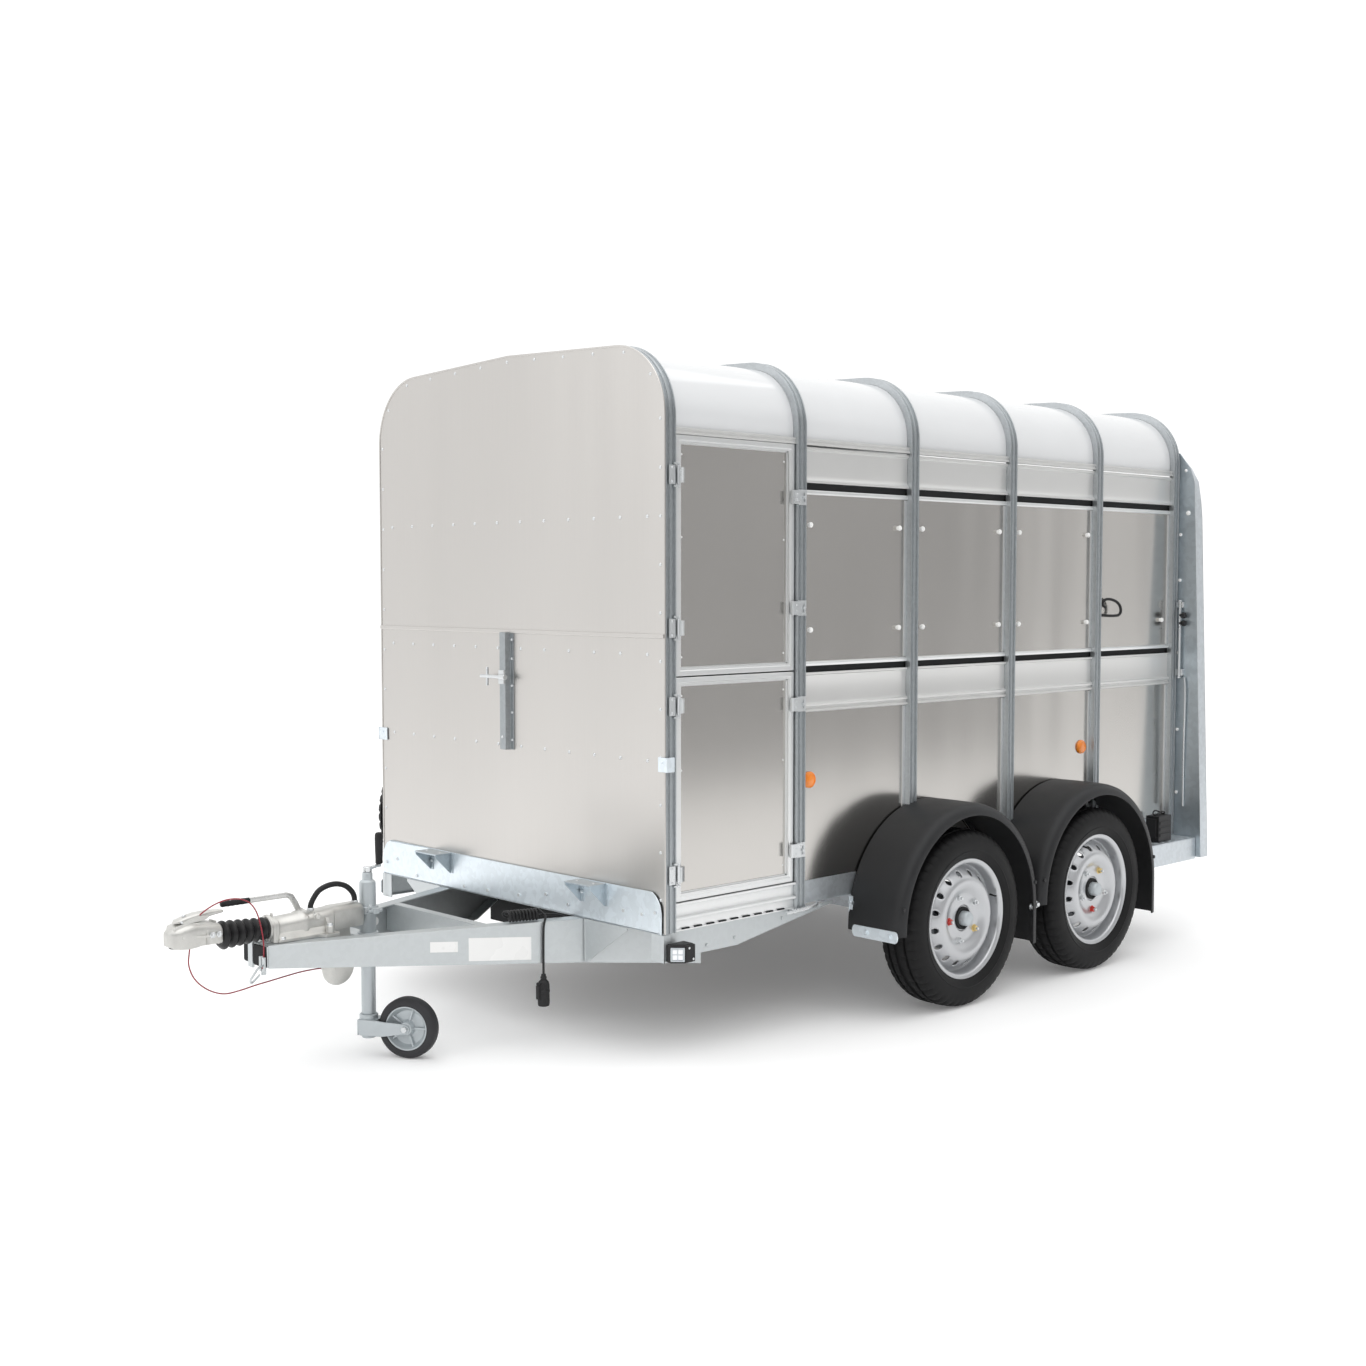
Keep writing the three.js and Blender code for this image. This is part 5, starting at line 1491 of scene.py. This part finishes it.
step = Form()
outline = [(799, 424.4), (901, 424.4), (901, 333), (904.6, 333), (904.6, 424), (901, 427.6), (799, 427.6)]
step.prism("s", outline, 2607, 3094.5)
for k in range(9):
    s = 2640 + 52 * k
    step.prism("s", [(812, 427), (888, 427), (886, 429.6), (814, 429.6)], s, s + 16)
for s in (2609, 3089):
    step.prism("s", [(800, 424), (901, 424), (901, 345), (880, 340), (800, 404)], s, s + 3.5)
pair("step_plate", step, "trailer", "chassis", slot="fittings", bevel=1.2)

wing_parts = Form()
wing_parts.dome("s", (840, WING_FACE, 1854), 11, -7, 18)
wing_parts.dome("s", (826, WING_FACE, 2040), 7, -5, 14)
for z in (620, 900, 1240, 1560, 1760):
    wing_parts.hexagon("s", (806, WING_FACE, z), 0, -6, 7.5)
pair("wing_bolts", wing_parts, "trailer", "white_cap", slot="fittings")
lug = Form()
outline = [(799, 3078), (830, 3078), (834, 3082), (834, WING_FACE), (828, WING_FACE), (828, 3084), (799, 3084)]
for low, high in ((1140, 1168), (1440, 1464)):
    lug.prism("z", outline, low, high)
lug.tube(smooth([(842, 3090, 560), (843, 3088, 820), (846, 3086, 1060), (840, 3088, 1132)], 6), 4.5, 12)
pair("wing_lugs", lug, "trailer", "fittings", slot="fittings", bevel=0.9)

tail = Form()
outline = [(812, 640), (900, 640), (906, 646), (892, 944), (886, 950), (812, 950), (806, 944), (806, 646)]
tail.prism("s", outline, 3101, 3132)
pair("tail_lamp_case", tail, "trailer", "lamp_case", slot="fittings", bevel=3, segments=3)
for name, low, high, material in (
    ("stop", 654, 746, "red_lens"), ("turn", 752, 842, "orange_lens"), ("reverse", 848, 938, "white_lens"),
):
    lens = Form()
    lens.prism("s", [(814, low), (896, low), (893, high), (814, high)], 3130, 3140)
    for k in range(7):
        z = low + 8 + k * 11.5
        lens.prism("s", oblong(818, 888, z, z + 6), 3139.5, 3141.5)
    pair(f"tail_lamp_{name}", lens, "trailer", material, slot="fittings", bevel=2, segments=3)

block = Form()
block.box(813, 876, 2834, 2936, 431, 541)
for z in (452, 478, 504):
    block.box(876, 879, 2842, 2928, z, z + 14)
block.box(822, 866, 2825, 2834, 446, 530)
angles = [TAU * k / 32 for k in range(33)]
ring = [(844 + 18 * math.cos(a), 2886 + 36 * math.sin(a), 551 + 7 * math.cos(2 * a)) for a in angles]
block.tube(ring, 3.2, 10)
block.piece("step_block", "trailer", "lamp_case", slot="fittings", bevel=3, segments=3)

# ------------------------------------------------------------------ ramp and its locks
RAMP_HALF, RAMP_LOW, RAMP_HIGH = 792, 448, 1860
RIB_PITCH, RIB_HIGH, RIB_LOW = 49.5, 3108.6, 3108.6 - 3.2
skin = Form()
line = []
for k in range(int(2 * RAMP_HALF / RIB_PITCH)):
    x = -RAMP_HALF + k * RIB_PITCH
    line += [(x, RIB_HIGH), (x + RIB_PITCH * 0.42, RIB_HIGH), (x + RIB_PITCH * 0.5, RIB_LOW),
             (x + RIB_PITCH * 0.92, RIB_LOW)]
line += [(RAMP_HALF, RIB_HIGH), (RAMP_HALF, 3103.4), (-RAMP_HALF, 3103.4)]
skin.prism("z", line, RAMP_LOW, RAMP_HIGH)
skin.piece("ramp_skin", "ramp", "ramp", "ramp", "ramp")
ramp_frame = Form()
for side in (-1, 1):
    a, b = span(side, RAMP_HALF - 40, RAMP_HALF)
    outline = [(a, 3104), (b, 3104), (b, 3149), (b - 3, 3149.5), (a + 3, 3149.5), (a, 3149)]
    ramp_frame.prism("z", outline, RAMP_LOW, RAMP_HIGH)
for k in range(6):
    z = RAMP_LOW + k * 1372 / 5
    ramp_frame.prism("x", [(3108, z), (3108, z + 40), (3143, z + 37), (3143.5, z + 32), (3143.5, z + 8),
                           (3143, z + 3)],
                     40 - RAMP_HALF, RAMP_HALF - 40)
ramp_frame.piece("ramp_frame", "ramp", "chassis", slot="ramp", bevel=1.5)
grips = Form()
for k in range(11):
    z = RAMP_LOW + 90 + k * 122
    grips.prism("x", [(3098.6, z), (3103.6, z), (3103.6, z + 14), (3098.6, z + 11)], 60 - RAMP_HALF, RAMP_HALF - 60)
grips.piece("ramp_foot_bars", "ramp", "fittings", slot="ramp", bevel=0.8)

lock = Form()
lock.rod("z", (818, 3080, 0), 1130, 1470, 6, 18)
lock.prism("x", [(3078, 1145), (3080, 1144), (3092, 1144), (3095.5, 1147), (3095.5, 1163), (3092, 1166), (3080, 1166),
                 (3078, 1165)],
           815.2, 820.8)
for z in (1128, 1466):
    lock.rod("z", (818, 3080, 0), z, z + 6, 10, 20)
pair("ramp_lock_bar", lock, "ramp_latch_HAND", "fittings", replaces="ramp_latch", slot="fittings", bevel=0.4)
knobs = Form()
for z in (1371, 1406):
    knobs.lathe("x", (0, 3080, z), [(818, 0), (818, 7), (826, 7.5), (829, 11), (834, 13), (842, 13), (846, 11),
                                    (847.5, 7), (848, 0)], 24)
pair("ramp_lock_knobs", knobs, "ramp_latch_HAND", "crank", slot="fittings")

# ------------------------------------------------------------------ floor and light
def stage_plane():
    data = bpy.data.meshes.new("studio_floor")
    shape = bmesh.new()
    bmesh.ops.create_grid(shape, x_segments=8, y_segments=8, size=40)
    shape.to_mesh(data)
    shape.free()
    made = add_object("studio_floor", data)
    paper = Finish("studio_paper", (0.92, 0.92, 0.92), 0.9)
    paper.shade((paper.noise(0.4, 3), 0.99, 1.01))
    paper.set(Emission_Color=(1, 1, 1, 1), Emission_Strength=0.13)
    paper.bump(paper.noise(300, 2), 0.0002, 0.1)
    data.materials.append(paper.material)


stage_plane()


FLAG_X, FLAG_HEIGHT = 5.8, 3.3


def flag(name, y0, y1):
    """A grey studio panel beside the trailer that only shows in reflections."""
    form = bmesh.new()
    form.faces.new([form.verts.new((FLAG_X, y, z)) for y, z in oblong(y0, y1, 0, FLAG_HEIGHT)])
    data = bpy.data.meshes.new(name)
    form.to_mesh(data)
    form.free()
    made = add_object(name, data)
    cloth = Finish(name, (0.42, 0.42, 0.422), 0.95)
    cloth.shade((cloth.noise(0.7, 3), 0.9, 1.1))
    data.materials.append(cloth.material)
    made.visible_camera = False
    made.visible_diffuse = False
    made.visible_shadow = False


flag("studio_flag_front", -3.0, 8.35)
flag("studio_flag_rear", 10.6, 13.5)


def area_light(name, place, target, size, power):
    data = bpy.data.lights.new(name, "AREA")
    data.shape = "RECTANGLE"
    data.size, data.size_y = size
    data.energy = power
    made = add_object(name, data)
    made.location = place
    made.rotation_euler = (Vector(target) - Vector(place)).to_track_quat("-Z", "Y").to_euler()


area_light("top_light", (0.5, -0.5, 8.0), (0, 0, 0), (10, 10), 250)
area_light("front_light", (-3.5, -8.5, 4.5), (0, -1, 1.0), (5, 4), 40)
area_light("side_light", (6.5, -6.5, 6.5), (0, 0, 0.8), (4, 3), 70)

world = bpy.data.worlds.new("studio")
world.use_nodes = True
bpy.context.scene.world = world
tree = world.node_tree
tree.nodes.clear()


def world_node(kind, **values):
    return add_node(tree, kind, **values)


def world_range(source, start, end, low, high):
    made = world_node("ShaderNodeMapRange", From_Min=start, From_Max=end, To_Min=low, To_Max=high,
                      interpolation_type="SMOOTHSTEP")
    tree.links.new(source, made.inputs["Value"])
    return made.outputs["Result"]


DARK_SIDE = (0.985, -0.174, 0)  # the way in which the surroundings are dim near the horizon
BRIGHT, DIM, OVERHEAD = 1.15, 0.24, 1.25
direction = world_node("ShaderNodeTexCoord").outputs["Generated"]
height = world_node("ShaderNodeSeparateXYZ")
tree.links.new(direction, height.inputs["Vector"])
facing = world_node("ShaderNodeVectorMath", operation="DOT_PRODUCT")
tree.links.new(direction, facing.inputs[0])
facing.inputs[1].default_value = DARK_SIDE
horizon = world_range(facing.outputs["Value"], 0.32, 0.60, BRIGHT, DIM)
overhead = world_range(height.outputs["Z"], 0.12, 0.75, 0.0, 1.0)
level = world_node("ShaderNodeMix", data_type="FLOAT")
tree.links.new(overhead, level.inputs["Factor"])
tree.links.new(horizon, level.inputs["A"])
level.inputs["B"].default_value = OVERHEAD
surround = world_node("ShaderNodeBackground", Strength=0.9)
tree.links.new(level.outputs["Result"], surround.inputs["Color"])
backdrop = world_node("ShaderNodeBackground", Strength=1.1)
backdrop.inputs["Color"].default_value = (1, 1, 1, 1)
path = world_node("ShaderNodeLightPath")
mixed = world_node("ShaderNodeMixShader")
tree.links.new(path.outputs["Is Camera Ray"], mixed.inputs["Fac"])
tree.links.new(surround.outputs["Background"], mixed.inputs[1])
tree.links.new(backdrop.outputs["Background"], mixed.inputs[2])
result = world_node("ShaderNodeOutputWorld")
tree.links.new(mixed.outputs["Shader"], result.inputs["Surface"])
bpy.context.scene.view_settings.view_transform = "Standard"
